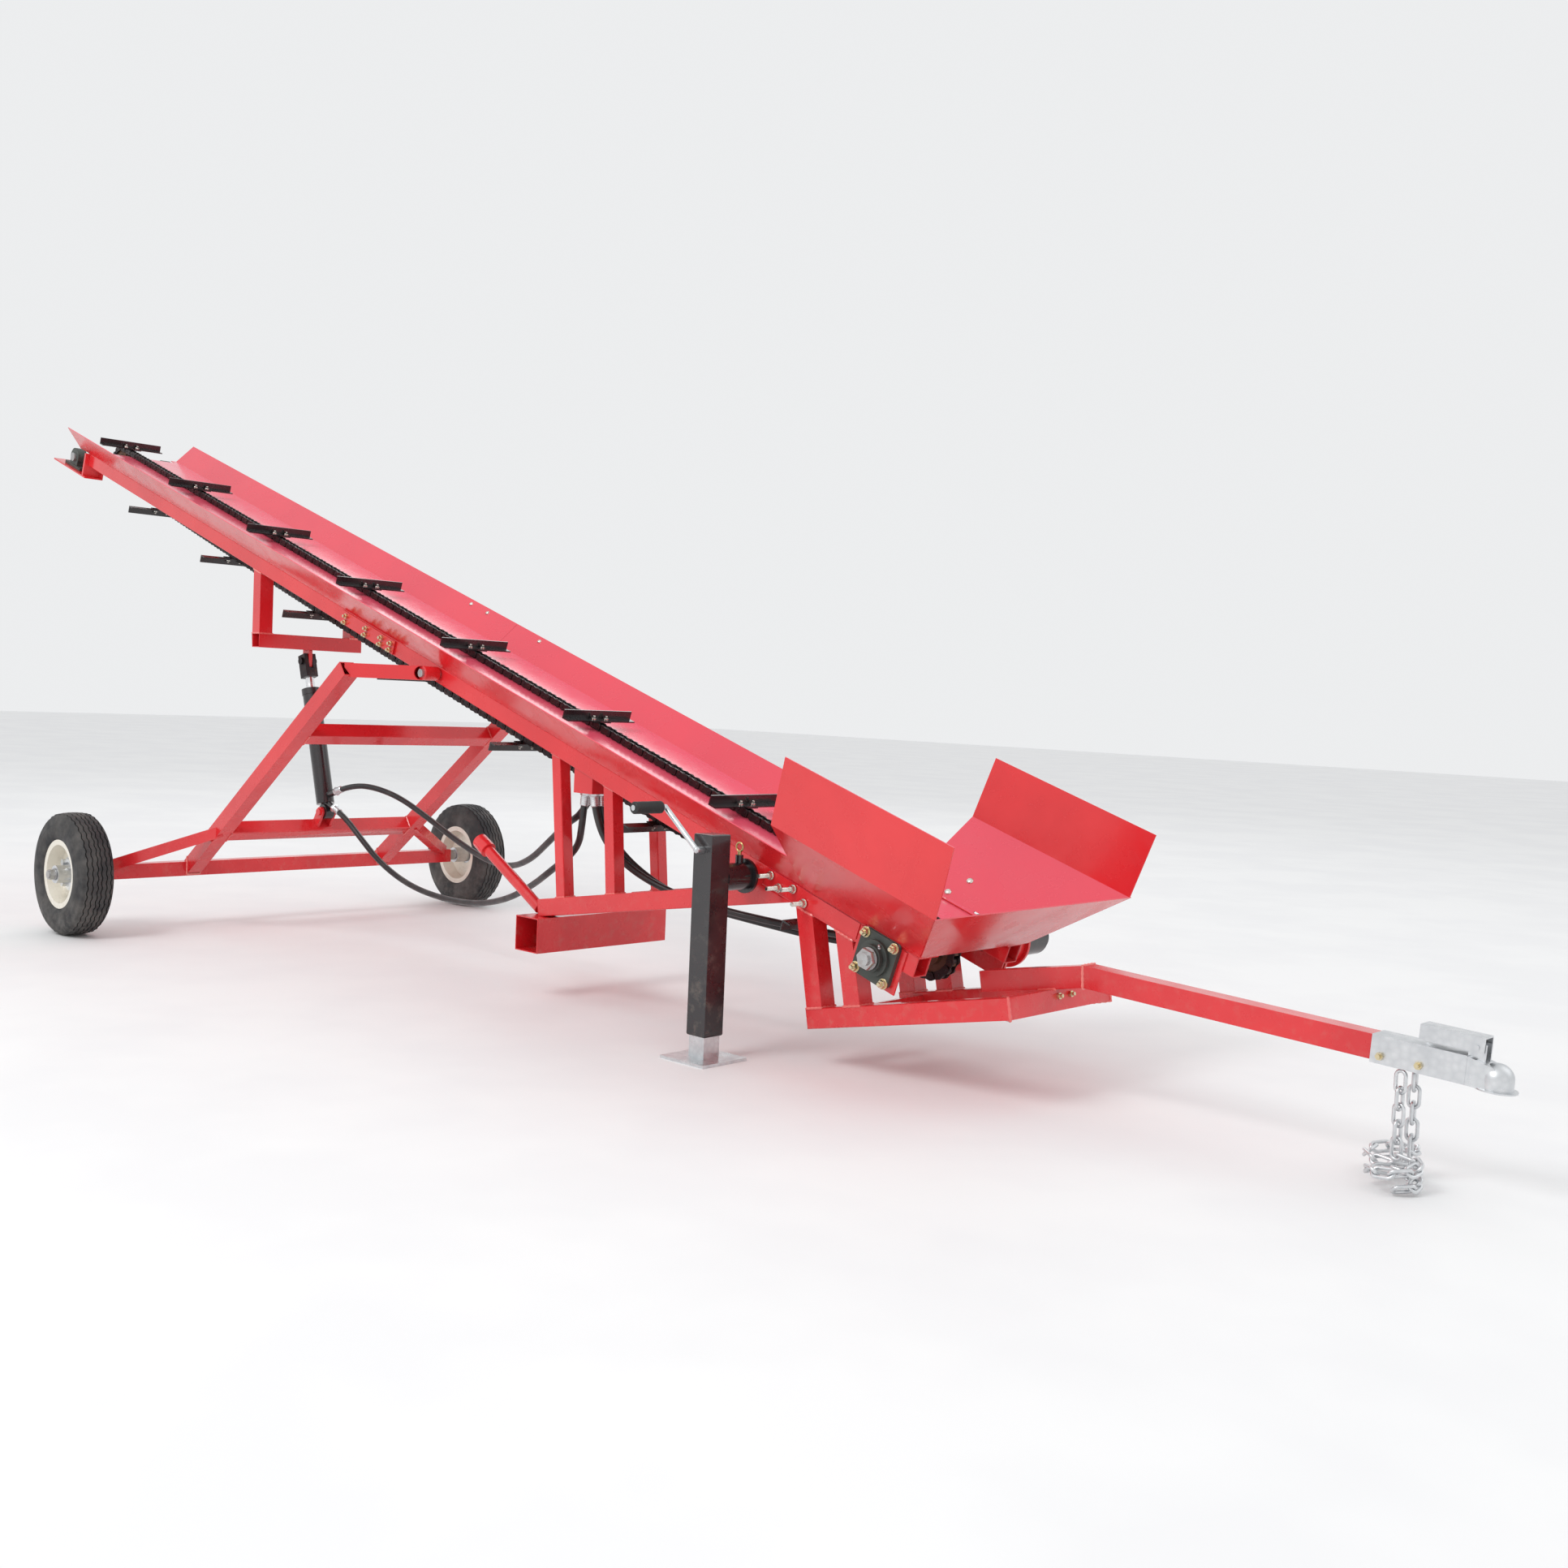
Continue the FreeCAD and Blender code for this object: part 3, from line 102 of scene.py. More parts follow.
def add(tree, kind, **values):
    """A node with its settings and unlinked inputs."""
    made = tree.nodes.new(kind)
    for key, value in values.items():
        if hasattr(made, key):
            setattr(made, key, value)
        else:
            made.inputs[key.replace("_", " ")].default_value = value
    return made


def noise(tree, scale, detail=4.0, rough=0.6, stretch=None):
    """Noise in the object's own space."""
    place = tree.nodes.new("ShaderNodeTexCoord")
    made = add(tree, "ShaderNodeTexNoise", Scale=scale, Detail=detail, Roughness=rough)
    source = place.outputs["Object"]
    if stretch:
        mapping = tree.nodes.new("ShaderNodeMapping")
        mapping.inputs["Scale"].default_value = stretch
        tree.links.new(source, mapping.inputs["Vector"])
        source = mapping.outputs["Vector"]
    tree.links.new(source, made.inputs["Vector"])
    return made.outputs["Fac"]


def ramp(tree, source, low, high, low_value=0.0, high_value=1.0):
    """Map source from low..high to low_value..high_value."""
    made = add(tree, "ShaderNodeMapRange")
    limits = (("From Min", low), ("From Max", high), ("To Min", low_value), ("To Max", high_value))
    for key, value in limits:
        made.inputs[key].default_value = value
    tree.links.new(source, made.inputs["Value"])
    return made.outputs["Result"]


def times(tree, a, b):
    made = add(tree, "ShaderNodeMath", operation="MULTIPLY")
    tree.links.new(a, made.inputs[0])
    tree.links.new(b, made.inputs[1])
    return made.outputs[0]


def mix(tree, factor, a, b):
    """Blend colours a and b, each a colour or a socket, by factor."""
    made = tree.nodes.new("ShaderNodeMix")
    made.data_type = "RGBA"
    tree.links.new(factor, made.inputs[0])
    for place, value in ((6, a), (7, b)):
        if isinstance(value, tuple):
            made.inputs[place].default_value = (*value, 1)
        else:
            tree.links.new(value, made.inputs[place])
    return made.outputs[2]


def bump(tree, body, height, distance, strength=1.0):
    made = add(tree, "ShaderNodeBump", Distance=distance, Strength=strength)
    tree.links.new(height, made.inputs["Height"])
    tree.links.new(made.outputs["Normal"], body.inputs["Normal"])


def facing_up(tree):
    """How much a surface faces the sky."""
    geometry = tree.nodes.new("ShaderNodeNewGeometry")
    split = tree.nodes.new("ShaderNodeSeparateXYZ")
    tree.links.new(geometry.outputs["Normal"], split.inputs[0])
    return split.outputs["Z"]


def low_down(tree, top):
    """One at the ground, fading out at the height top."""
    geometry = tree.nodes.new("ShaderNodeNewGeometry")
    split = tree.nodes.new("ShaderNodeSeparateXYZ")
    tree.links.new(geometry.outputs["Position"], split.inputs[0])
    return ramp(tree, split.outputs["Z"], 0.0, top, 1.0, 0.0)


ROAD_DUST = (0.45, 0.36, 0.28)


def painted(name, colour, deep, gloss=0.28, dusty=0.2, sky=None):
    """Sprayed gloss paint: a drifting tone, road dust, orange peel and, on sheet metal, a painted sky reflection
    that pinks the faces looking up.
    """
    material, tree, body = shader(name, colour, gloss, 0.0, 0.5)
    tone = mix(tree, ramp(tree, noise(tree, 3.0), 0.35, 0.65), colour, deep)
    # sky: colour of a painted sky reflection, mixed in more the more a face looks up
    if sky:
        tone = mix(tree, ramp(tree, facing_up(tree), 0.25, 0.95, 0.0, 0.8), tone, sky)
    grime = times(tree, ramp(tree, facing_up(tree), 0.2, 1.0, 0.2, 1.0),
                  ramp(tree, noise(tree, 7.0, 8.0), 0.5, 0.85, 0.0, dusty))
    tone = mix(tree, grime, tone, ROAD_DUST)
    splash = times(tree, low_down(tree, 0.45), ramp(tree, noise(tree, 38.0, 6.0), 0.52, 0.75, 0.0, 0.3))
    tone = mix(tree, splash, tone, ROAD_DUST)
    tree.links.new(tone, body.inputs["Base Color"])
    rough = ramp(tree, noise(tree, 12.0, 6.0), 0.3, 0.8, gloss - 0.07, gloss + 0.2)
    tree.links.new(rough, body.inputs["Roughness"])
    bump(tree, body, noise(tree, 260.0, 2.0), 0.0004, 0.2)
    return material


def zinc_plate(name, colour, dark, scale=70.0, rough=0.32):
    """Galvanised or plated steel: a crystal pattern, water marks and fine scratches."""
    material, tree, body = shader(name, colour, rough, 1.0)
    cells = add(tree, "ShaderNodeTexVoronoi", Scale=scale)
    place = tree.nodes.new("ShaderNodeTexCoord")
    tree.links.new(place.outputs["Object"], cells.inputs["Vector"])
    spangle = ramp(tree, cells.outputs["Distance"], 0.0, 0.9, 0.0, 0.55)
    tone = mix(tree, spangle, colour, dark)
    tone = mix(tree, ramp(tree, noise(tree, 9.0, 7.0), 0.5, 0.75, 0.0, 0.6), tone, dark)
    tree.links.new(tone, body.inputs["Base Color"])
    worn = ramp(tree, noise(tree, 24.0, 6.0), 0.3, 0.75, rough - 0.1, rough + 0.22)
    tree.links.new(worn, body.inputs["Roughness"])
    bump(tree, body, noise(tree, 400.0, 3.0, 0.7, (1, 1, 6)), 0.0002, 0.3)
    return material


def oiled_steel(name, colour, rust, amount=0.4, rough=0.38):
    """Bare steel with an oil film and a little rust."""
    material, tree, body = shader(name, colour, rough, 0.9)
    tone = mix(tree, ramp(tree, noise(tree, 45.0, 8.0), 0.48, 0.72, 0.0, amount), colour, rust)
    tree.links.new(tone, body.inputs["Base Color"])
    film = ramp(tree, noise(tree, 30.0, 5.0), 0.3, 0.7, rough - 0.12, rough + 0.25)
    tree.links.new(film, body.inputs["Roughness"])
    bump(tree, body, noise(tree, 300.0, 4.0), 0.0003, 0.35)
    return material


def cast_metal(name, colour, dark):
    """A painted sand casting with a pebbled skin."""
    material, tree, body = shader(name, colour, 0.5, 0.2)
    tone = mix(tree, ramp(tree, noise(tree, 25.0, 7.0), 0.4, 0.7, 0.0, 0.8), colour, dark)
    tree.links.new(tone, body.inputs["Base Color"])
    bump(tree, body, noise(tree, 350.0, 3.0), 0.0008, 0.7)
    return material


def rubber(name, colour, dust, dusty, rough=0.62):
    """Moulded rubber with a bloom of dust."""
    material, tree, body = shader(name, colour, rough)
    tone = mix(tree, ramp(tree, noise(tree, 14.0, 8.0), 0.4, 0.75, 0.0, dusty), colour, dust)
    splash = times(tree, low_down(tree, 0.22), ramp(tree, noise(tree, 50.0, 5.0), 0.42, 0.66, 0.0, 0.5))
    tone = mix(tree, splash, tone, dust)
    tree.links.new(tone, body.inputs["Base Color"])
    bloom = ramp(tree, noise(tree, 20.0, 5.0), 0.3, 0.7, rough - 0.12, rough + 0.2)
    tree.links.new(bloom, body.inputs["Roughness"])
    bump(tree, body, noise(tree, 500.0, 2.0), 0.0002, 0.5)
    return material


def hose_cover(name):
    """Wrapped rubber hose: a fine cloth-wrap pattern round the cover."""
    cover, dust = (0.014, 0.014, 0.016), (0.09, 0.08, 0.07)
    material, tree, body = shader(name, cover, 0.38, 0.0, 0.2)
    place = tree.nodes.new("ShaderNodeTexCoord")
    wrap = add(tree, "ShaderNodeTexWave", Scale=90.0, Distortion=1.5, Detail=1.0)
    tree.links.new(place.outputs["UV"], wrap.inputs["Vector"])
    tone = mix(tree, ramp(tree, noise(tree, 18.0, 6.0), 0.45, 0.75, 0.0, 0.35), cover, dust)
    tree.links.new(tone, body.inputs["Base Color"])
    sheen = ramp(tree, noise(tree, 22.0, 4.0), 0.3, 0.7, 0.28, 0.55)
    tree.links.new(sheen, body.inputs["Roughness"])
    bump(tree, body, wrap.outputs["Fac"], 0.0003, 0.35)
    return material


RED = painted("red_gloss", (0.74, 0.020, 0.026), (0.63, 0.014, 0.020), gloss=0.24, dusty=0.06)
# the sheet red carries a painted sky reflection: paler pink on faces that look up
SHEET_RED = painted("red_sheet", (0.76, 0.022, 0.028), (0.66, 0.016, 0.022), gloss=0.2, dusty=0.05,
                    sky=(0.87, 0.11, 0.19))
BLACK = painted("black_gloss", (0.012, 0.010, 0.012), (0.022, 0.018, 0.020), gloss=0.24, dusty=0.08)
CREAM = painted("cream_gloss", (0.84, 0.80, 0.71), (0.78, 0.73, 0.62), gloss=0.26, dusty=0.25)
ZINC = zinc_plate("bright_zinc", (0.78, 0.79, 0.80), (0.52, 0.54, 0.56))
YELLOW_ZINC = zinc_plate("yellow_zinc", (0.78, 0.66, 0.38), (0.55, 0.5, 0.42), 160.0, 0.28)
BRASS = zinc_plate("worn_brass", (0.76, 0.58, 0.27), (0.42, 0.3, 0.13), 30.0, 0.3)
STEEL = oiled_steel("ground_steel", (0.5, 0.5, 0.5), (0.2, 0.12, 0.07), 0.3, 0.3)
CHAIN_STEEL = oiled_steel("chain_steel", (0.045, 0.037, 0.04), (0.11, 0.06, 0.045), 0.45, 0.34)
RUST_PLATE = oiled_steel("burnt_plate", (0.16, 0.10, 0.075), (0.24, 0.11, 0.05), 0.8, 0.55)
ROD_CHROME = oiled_steel("rod_chrome", (0.82, 0.83, 0.84), (0.5, 0.48, 0.46), 0.1, 0.14)
GREEN_CAST = cast_metal("bearing_casting", (0.075, 0.085, 0.075), (0.035, 0.04, 0.038))
TYRE_RUBBER = rubber("tyre_rubber", (0.022, 0.022, 0.024), (0.17, 0.155, 0.14), 0.5)
GRIP_RUBBER = rubber("grip_plastic", (0.012, 0.012, 0.012), (0.06, 0.055, 0.05), 0.3, 0.5)
HOSE_COVER = hose_cover("hose_cover")
WELD = painted("painted_weld", (0.80, 0.09, 0.09), (0.86, 0.22, 0.19), gloss=0.2, dusty=0.35)
THREAD = zinc_plate("bright_thread", (0.86, 0.84, 0.78), (0.5, 0.47, 0.4), 200.0, 0.24)

NODE_MATERIALS = {
    BLACK: ("flights_upper", "flights_return", "jack_tube", "jack_bracket", "cylinder_barrel",
            "hydraulic_motor"),
    CREAM: ("rim_near", "rim_far"),
    SHEET_RED: ("trough_pans", "hopper_sides", "hopper_apron"),
    ZINC: ("coupler_shell", "latch_lever", "safety_chains", "jack_crank", "jack_leg", "hub_near", "hub_far"),
    STEEL: ("drive_shaft", "tail_shaft", "spindles", "pivot_pins"),
    CHAIN_STEEL: ("chain_upper", "chain_return", "chain_wrap_drive", "chain_wrap_tail", "rod_clevis"),
    ROD_CHROME: ("cylinder_rod",),
    YELLOW_ZINC: ("frame_fasteners",),
    GREEN_CAST: ("drive_bearings", "tail_bearings"),
    RUST_PLATE: ("drive_sprocket", "tail_sprocket"),
    BRASS: ("jack_pull_pin",),
    TYRE_RUBBER: ("tyre_near", "tyre_far"),
    GRIP_RUBBER: ("crank_grip",),
    HOSE_COVER: ("hose_lift_rod", "hose_lift_base", "hose_motor_feed", "hose_motor_return"),
}
material_of = {name: material for material, names in NODE_MATERIALS.items() for name in names}
for name, node in frame["nodes"].items():
    node.data.materials.clear()
    node.data.materials.append(material_of.get(name, RED))


# ---- camera, light and floor ----------------------------------------------------------------
def studio():
    """A pale floor, a bright sky dome, one large key light and a weaker fill."""
    bpy.ops.mesh.primitive_plane_add(size=60, location=(0, 0, 0))
    floor = bpy.context.object
    floor.name = "floor"
    material, tree, body = shader("pale_floor", (0.86, 0.86, 0.86), 0.7)
    tone = mix(tree, ramp(tree, noise(tree, 1.5, 3.0), 0.4, 0.6), (0.87, 0.87, 0.87), (0.84, 0.84, 0.845))
    tree.links.new(tone, body.inputs["Base Color"])
    floor.data.materials.append(material)
    world = bpy.data.worlds.new("sky")
    bpy.context.scene.world = world
    world.use_nodes = True
    backdrop = world.node_tree.nodes["Background"]
    backdrop.inputs["Color"].default_value = (0.98, 0.99, 1.0, 1)
    backdrop.inputs["Strength"].default_value = 0.86
    aim = Vector((0, 0, 0.6))
    for name, place, size, power in (("key", (0.5, -6.5, 6.5), 3.0, 250),
                                     ("fill", (6.0, 3.5, 5.0), 5.0, 50),
                                     ("back", (-5.0, 5.0, 5.5), 4.0, 60)):
        light = bpy.data.lights.new(name, "AREA")
        light.energy = power
        light.size = size
        lamp = bpy.data.objects.new(name, light)
        lamp.location = place
        lamp.rotation_euler = (aim - Vector(place)).to_track_quat("-Z", "Y").to_euler()
        bpy.context.scene.collection.objects.link(lamp)
    bpy.context.scene.view_settings.view_transform = "Standard"


def camera():
    """The camera stands ahead of the near wheel's side, at eye height for a crouching person."""
    place = at(5.41075, -3.13374, 0.89524)
    forward = Vector((-0.677594, 0.733615, -0.051719))
    right = Vector((0.732373, 0.679513, 0.043501))
    above = right.cross(forward).normalized()
    turn = Matrix((right, above, -forward)).transposed()
    data = bpy.data.cameras.new("camera")
    data.sensor_width = 36
    data.lens = 36.61
    lens = bpy.data.objects.new("camera", data)
    lens.matrix_world = Matrix.Translation(place) @ turn.to_4x4()
    bpy.context.scene.collection.objects.link(lens)
    bpy.context.scene.camera = lens


studio()
camera()


# ---- building blocks ------------------------------------------------------------------------
def piece(name, mesh, material, body, smooth=35):
    """Link a finished bmesh as a piece that rides on a body."""
    bmesh.ops.recalc_face_normals(mesh, faces=mesh.faces)
    data = bpy.data.meshes.new(name)
    mesh.to_mesh(data)
    mesh.free()
    made = bpy.data.objects.new(name, data)
    bpy.context.scene.collection.objects.link(made)
    data.materials.append(material)
    data.shade_smooth()
    data.set_sharp_from_angle(angle=radians(smooth))
    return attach(made, body)


def skin(mesh, rings, closed=True, capped=False):
    """Join rings of points with quads; each ring is a closed loop."""
    rows = [[mesh.verts.new(p) for p in ring] for ring in rings]
    count = len(rows[0])
    pairs = list(zip(rows, rows[1:]))
    if closed:
        pairs.append((rows[-1], rows[0]))
    for a, b in pairs:
        for i in range(count):
            j = (i + 1) % count
            mesh.faces.new((a[i], a[j], b[j], b[i]))
    if capped:
        mesh.faces.new(rows[0])
        mesh.faces.new(rows[-1][::-1])


def circle(centre, side, other, radius, steps):
    """Points round a circle in the plane of side and other."""
    turns = [t * tau / steps for t in range(steps)]
    return [centre + (side * cos(turn) + other * sin(turn)) * radius for turn in turns]


def lathe(mesh, origin, axis, profile, steps=48):
    """Turn (along, radius) points about an axis; the profile runs from end to end and is capped."""
    axis = axis.normalized()
    side = axis.orthogonal().normalized()
    other = axis.cross(side)
    rings = [circle(origin + axis * along, side, other, radius, steps) for along, radius in profile]
    skin(mesh, rings, closed=False, capped=True)


def hexagon(mesh, origin, axis, flats, height):
    """A hexagon nut or bolt head with chamfered corners."""
    chamfer = 0.0008
    r = flats / sqrt(3)
    lathe(mesh, origin, axis, [(0, r), (height - chamfer * 2, r), (height, r - chamfer * 1.6)], 6)


def sweep(mesh, points, radius_at, sides=10, closed=False):
    """A tube along points, with its own radius at each point."""
    rings = []
    count = len(points)
    for i, p in enumerate(points):
        ahead = points[(i + 1) % count] if closed or i + 1 < count else p
        behind = points[i - 1] if closed or i else p
        along = (ahead - behind).normalized()
        side = along.cross(Vector((0.31, 0.17, 0.94))).normalized()
        rings.append(circle(p, side, along.cross(side), radius_at(i), sides))
    skin(mesh, rings, closed=closed, capped=not closed)


def spaced(points, step, closed=False):
    """Points at an even step along straight runs."""
    ends = points + points[:1] if closed else points
    made = []
    for a, b in zip(ends, ends[1:]):
        count = max(1, round((b - a).length / step))
        made += [a.lerp(b, i / count) for i in range(count)]
    return made if closed else made + [ends[-1]]


# ---- hoses ----------------------------------------------------------------------------------
HOSE = 0.020
CLAMP_LOW = 0.610
CLAMP_PORTS = [at(x, y, CLAMP_LOW) for x in (1.912, 1.948) for y in (-0.178, -0.150)]


def crimp(name, start, toward, body):
    """A hose fitting: a crimped ferrule over the hose's end and a swivel nut."""
    mesh = bmesh.new()
    axis = (toward - start).normalized()
    profile = [(-0.002, 0.0085), (0.0, 0.0125)]
    for i in range(5):
        profile += [(0.004 + i * 0.006, 0.0128), (0.006 + i * 0.006, 0.0119), (0.008 + i * 0.006, 0.0128)]
    profile += [(0.035, 0.0125), (0.037, 0.0104)]
    lathe(mesh, start, axis, profile, 24)
    hexagon(mesh, start - axis * 0.004, axis, 0.027, 0.011)
    return piece(name, mesh, ZINC, body)


def hose(name, points, ends):
    """A free hose on one smooth line, with a crimped fitting at each end."""
    curve = bpy.data.curves.new(name + "_line", "CURVE")
    curve.dimensions = "3D"
    line = curve.splines.new("NURBS")
    line.points.add(len(points) - 1)
    for spot, p in zip(line.points, points):
        spot.co = (*p, 1)
    line.order_u = 3
    line.use_endpoint_u = True
    line.resolution_u = 12
    curve.bevel_depth = HOSE / 2
    curve.bevel_resolution = 5
    curve.materials.append(HOSE_COVER)
    made = bpy.data.objects.new(name, curve)
    bpy.context.scene.collection.objects.link(made)
    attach(made, "frame")
    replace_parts(made, name.replace("_line", ""))
    fittings = [crimp(name + "_end_" + str(i), points[a], points[b], "frame")
                for i, (a, b) in enumerate(((0, 1), (-1, -2))) if ends[i]]


hose("hose_lift_rod_line",
     [at(0.3166, 0, 0.5002), at(0.393, 0, 0.5224), at(0.490, 0.022, 0.532), at(0.630, 0.052, 0.504),
      at(0.790, 0.068, 0.440), at(0.960, 0.070, 0.375), at(1.150, 0.048, 0.332), at(1.340, 0.004, 0.328),
      at(1.510, -0.050, 0.372), at(1.660, -0.104, 0.442), at(1.780, -0.136, 0.508),
      at(1.870, -0.150, 0.548), CLAMP_PORTS[1]], (True, True))
hose("hose_lift_base_line",
     [at(0.3036, 0, 0.4378), at(0.3724, 0, 0.4123), at(0.450, 0.012, 0.350), at(0.575, 0.024, 0.262),
      at(0.750, 0.032, 0.200), at(0.950, 0.032, 0.179), at(1.160, 0.012, 0.188), at(1.370, -0.030, 0.230),
      at(1.560, -0.080, 0.298), at(1.720, -0.126, 0.372), at(1.836, -0.134, 0.440),
      at(1.898, -0.174, 0.525), CLAMP_PORTS[0]], (True, True))
hose("hose_motor_feed_line",
     [CLAMP_PORTS[2], at(1.952, -0.170, 0.535), at(1.985, -0.132, 0.440), at(2.080, -0.064, 0.360),
      at(2.240, 0.002, 0.312), at(2.420, 0.080, 0.284), at(2.600, 0.165, 0.264), at(2.755, 0.258, 0.252),
      at(2.880, 0.326, 0.262), at(2.968, 0.356, 0.286)], (True, True))
hose("hose_motor_return_line",
     [CLAMP_PORTS[3], at(1.954, -0.150, 0.545), at(1.990, -0.108, 0.440), at(2.070, -0.018, 0.345),
      at(2.190, 0.054, 0.296), at(2.340, 0.124, 0.268), at(2.500, 0.206, 0.238), at(2.680, 0.292, 0.228),
      at(2.815, 0.358, 0.252), at(2.905, 0.376, 0.292), at(2.968, 0.380, 0.318)], (True, True))


# ---- roller chain ---------------------------------------------------------------------------
PLATE_R = 0.0112
PLATE_WAIST = 0.0088
PIN_PROFILE = ((0, 0.0034), (0.001, 0.0042), (0.031, 0.0042), (0.032, 0.0034))
ROLLER_PROFILE = ((0, 0.0074), (0.0008, 0.0079), (0.0156, 0.0079), (0.0164, 0.0074))


def return_w(u):
    """Height of the slack return run in the bed's own section."""
    arc = (SPAN ** 2 / 4 + SAG ** 2) / (2 * SAG)
    mid = (DRIVE_U + TAIL_U) / 2
    return CHAIN_W - 2 * PITCH_R - SAG + arc - sqrt(arc ** 2 - (u - mid) ** 2)


def chain_link(mesh, a, b, wide):
    """One link from roller a to roller b: two waisted plates, its pins if wide, and roller a."""
    along = (b - a).normalized()
    up = along.cross(ACROSS)
    middle = (a + b) / 2
    outline = []
    for centre, first in ((b, -pi / 2), (a, pi / 2)):
        turns = [first + k * pi / 5 for k in range(6)]
        outline += [centre + along * cos(turn) * PLATE_R + up * sin(turn) * PLATE_R for turn in turns]
        waist = 1 if centre is b else -1
        outline.append(middle + up * PLATE_WAIST * waist)
    near, far = (0.0118, 0.0145) if wide else (0.0087, 0.0114)
    for side in (-1, 1):
        skin(mesh, [[p + ACROSS * side * y for p in outline] for y in (near, far)], closed=False, capped=True)
    if wide:
        for hub in (a, b):
            lathe(mesh, hub - ACROSS * 0.016, ACROSS, PIN_PROFILE, 10)
    lathe(mesh, a - ACROSS * 0.0082, ACROSS, ROLLER_PROFILE, 14)


def chain_run(name, stops, body, node, first_wide):
    """The links between a row of stops, wide and narrow by turns."""
    mesh = bmesh.new()
    for i, (a, b) in enumerate(zip(stops, stops[1:])):
        chain_link(mesh, a, b, (i + first_wide) % 2 == 0)
    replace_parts(piece(name, mesh, CHAIN_STEEL, body), node)


def wrap_stops(centre, turn):
    """Rollers round half of a sprocket: from the top at the drive end, from the bottom at the tail end."""
    count = TEETH // 2 + 1
    return [centre + DOWN * sin(k * tau / TEETH) * PITCH_R * turn + UP * cos(k * tau / TEETH) * PITCH_R * turn
            for k in range(count)]


upper_stops = [bed(TAIL_U + k * PITCH, 0, CHAIN_W) for k in range(LINKS + 1)]
lower_stops = [bed(DRIVE_U - k * PITCH, 0, return_w(DRIVE_U - k * PITCH)) for k in range(LINKS + 1)]
chain_run("roller_chain_upper", upper_stops, "chain_up", "chain_upper", 0)
chain_run("roller_chain_drive", wrap_stops(DRIVE, 1), "drive", "chain_wrap_drive", LINKS)
chain_run("roller_chain_return", lower_stops, "chain_down", "chain_return", LINKS)
chain_run("roller_chain_tail", wrap_stops(TAIL, -1), "tail", "chain_wrap_tail", 0)


# ---- tyres and wheels -----------------------------------------------------------------------
TYRE_PROFILE = ((0.0375, 0.1030), (0.0430, 0.1060), (0.0480, 0.1110), (0.0500, 0.1165), (0.0535, 0.1200),
                (0.0562, 0.1280), (0.0585, 0.1400), (0.0592, 0.1500), (0.0588, 0.1600), (0.0580, 0.1640),
                (0.0585, 0.1660), (0.0572, 0.1700), (0.0555, 0.1800), (0.0535, 0.1880), (0.0520, 0.1935),
                (0.0495, 0.1965), (0.0440, 0.1988))
RIB_EDGES = (0.0410, 0.0370, 0.0250, 0.0210, 0.0085, 0.0045)   # groove edges, out from the middle
TREAD_R = 0.2074
GROOVE = 0.0065
INSIDE = ((-0.034, 0.113), (-0.046, 0.150), (-0.034, 0.189), (0.034, 0.189), (0.046, 0.150), (0.034, 0.113))


def tyre(side, sign):
    """A ribbed trailer tyre: moulded side walls and zigzag grooves round the tread."""
    mesh = bmesh.new()
    steps = 160
    centre = at(0, sign * abs(AXLE.y), AXLE.z)
    profile = list(TYRE_PROFILE)
    crown = []
    for pair in range(0, len(RIB_EDGES), 2):
        outer, inner = RIB_EDGES[pair:pair + 2]
        drop = (outer / 0.06) ** 2 * 0.0075
        crown += [(outer, TREAD_R - drop), (outer - 0.0006, TREAD_R - GROOVE - drop),
                  (inner + 0.0006, TREAD_R - GROOVE - drop), (inner, TREAD_R - drop)]
    half = profile + crown
    outline = half + [(-a, r) for a, r in half[::-1]] + list(INSIDE)
    zigzag = len(profile)
    crown_end = len(half) + len(crown)
    rings = []
    for t in range(steps):
        angle = t * tau / steps
        shift = 0.0016 * (1 if t % 4 < 2 else -1)
        shoulder = 0.0012 if t % 4 < 2 else 0.0
        ring = []
        for i, (along, radius) in enumerate(outline):
            groove = zigzag <= i < crown_end
            if i in (zigzag - 1, crown_end):
                radius -= shoulder
            y = along + (shift if groove else 0.0)
            ring.append(centre + ACROSS * y + Vector((cos(angle), 0, sin(angle))) * radius)
        rings.append(ring)
    skin(mesh, rings)
    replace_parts(piece("ribbed_tyre_" + side, mesh, TYRE_RUBBER, "wheel_" + side, 50), "tyre_" + side)


for side, sign in (("near", -1), ("far", 1)):
    tyre(side, sign)


# ---- crank grip -----------------------------------------------------------------------------
def grip():
    """A ribbed plastic grip on the crank's handle."""
    low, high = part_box("crank_grip")
    middle = (low + high) / 2
    length = high.y - low.y
    count = 14
    bore, rim, rib, root = 0.0074, 0.0135, 0.0155, 0.0138
    profile = [(0, bore), (0.0005, rim), (0.003, rib)]
    for i in range(count):
        y = 0.006 + i * (length - 0.014) / count
        profile += [(y, rib), (y + 0.0018, root), (y + 0.0036, root), (y + 0.005, rib)]
    profile += [(length - 0.003, rib), (length - 0.0005, rim), (length, bore)]
    mesh = bmesh.new()
    lathe(mesh, Vector((middle.x, high.y, middle.z)), -ACROSS, profile, 32)
    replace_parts(piece("ribbed_grip", mesh, GRIP_RUBBER, "grip", 50), "crank_grip")


grip()


# ---- rounded corners of the rolled tubes ----------------------------------------------------
ROLLED = ("rear_stand", "front_stand", "fork_cross_tube", "tongue", "axle_beam", "axle_trusses",
          "axle_crossbars", "hanging_bracket", "bed_rails", "pivot_arms", "jack_tube")
for name in ROLLED:
    node = frame["nodes"][name]
    weld = node.modifiers.new("weld", "WELD")
    weld.merge_threshold = 0.00002
    edge = node.modifiers.new("round", "BEVEL")
    edge.width = 0.0028
    edge.segments = 2
    edge.limit_method = "ANGLE"
    edge.angle_limit = radians(50)


# ---- weld beads -----------------------------------------------------------------------------
BED_UNDER = bed(0, 0, -TUBE)


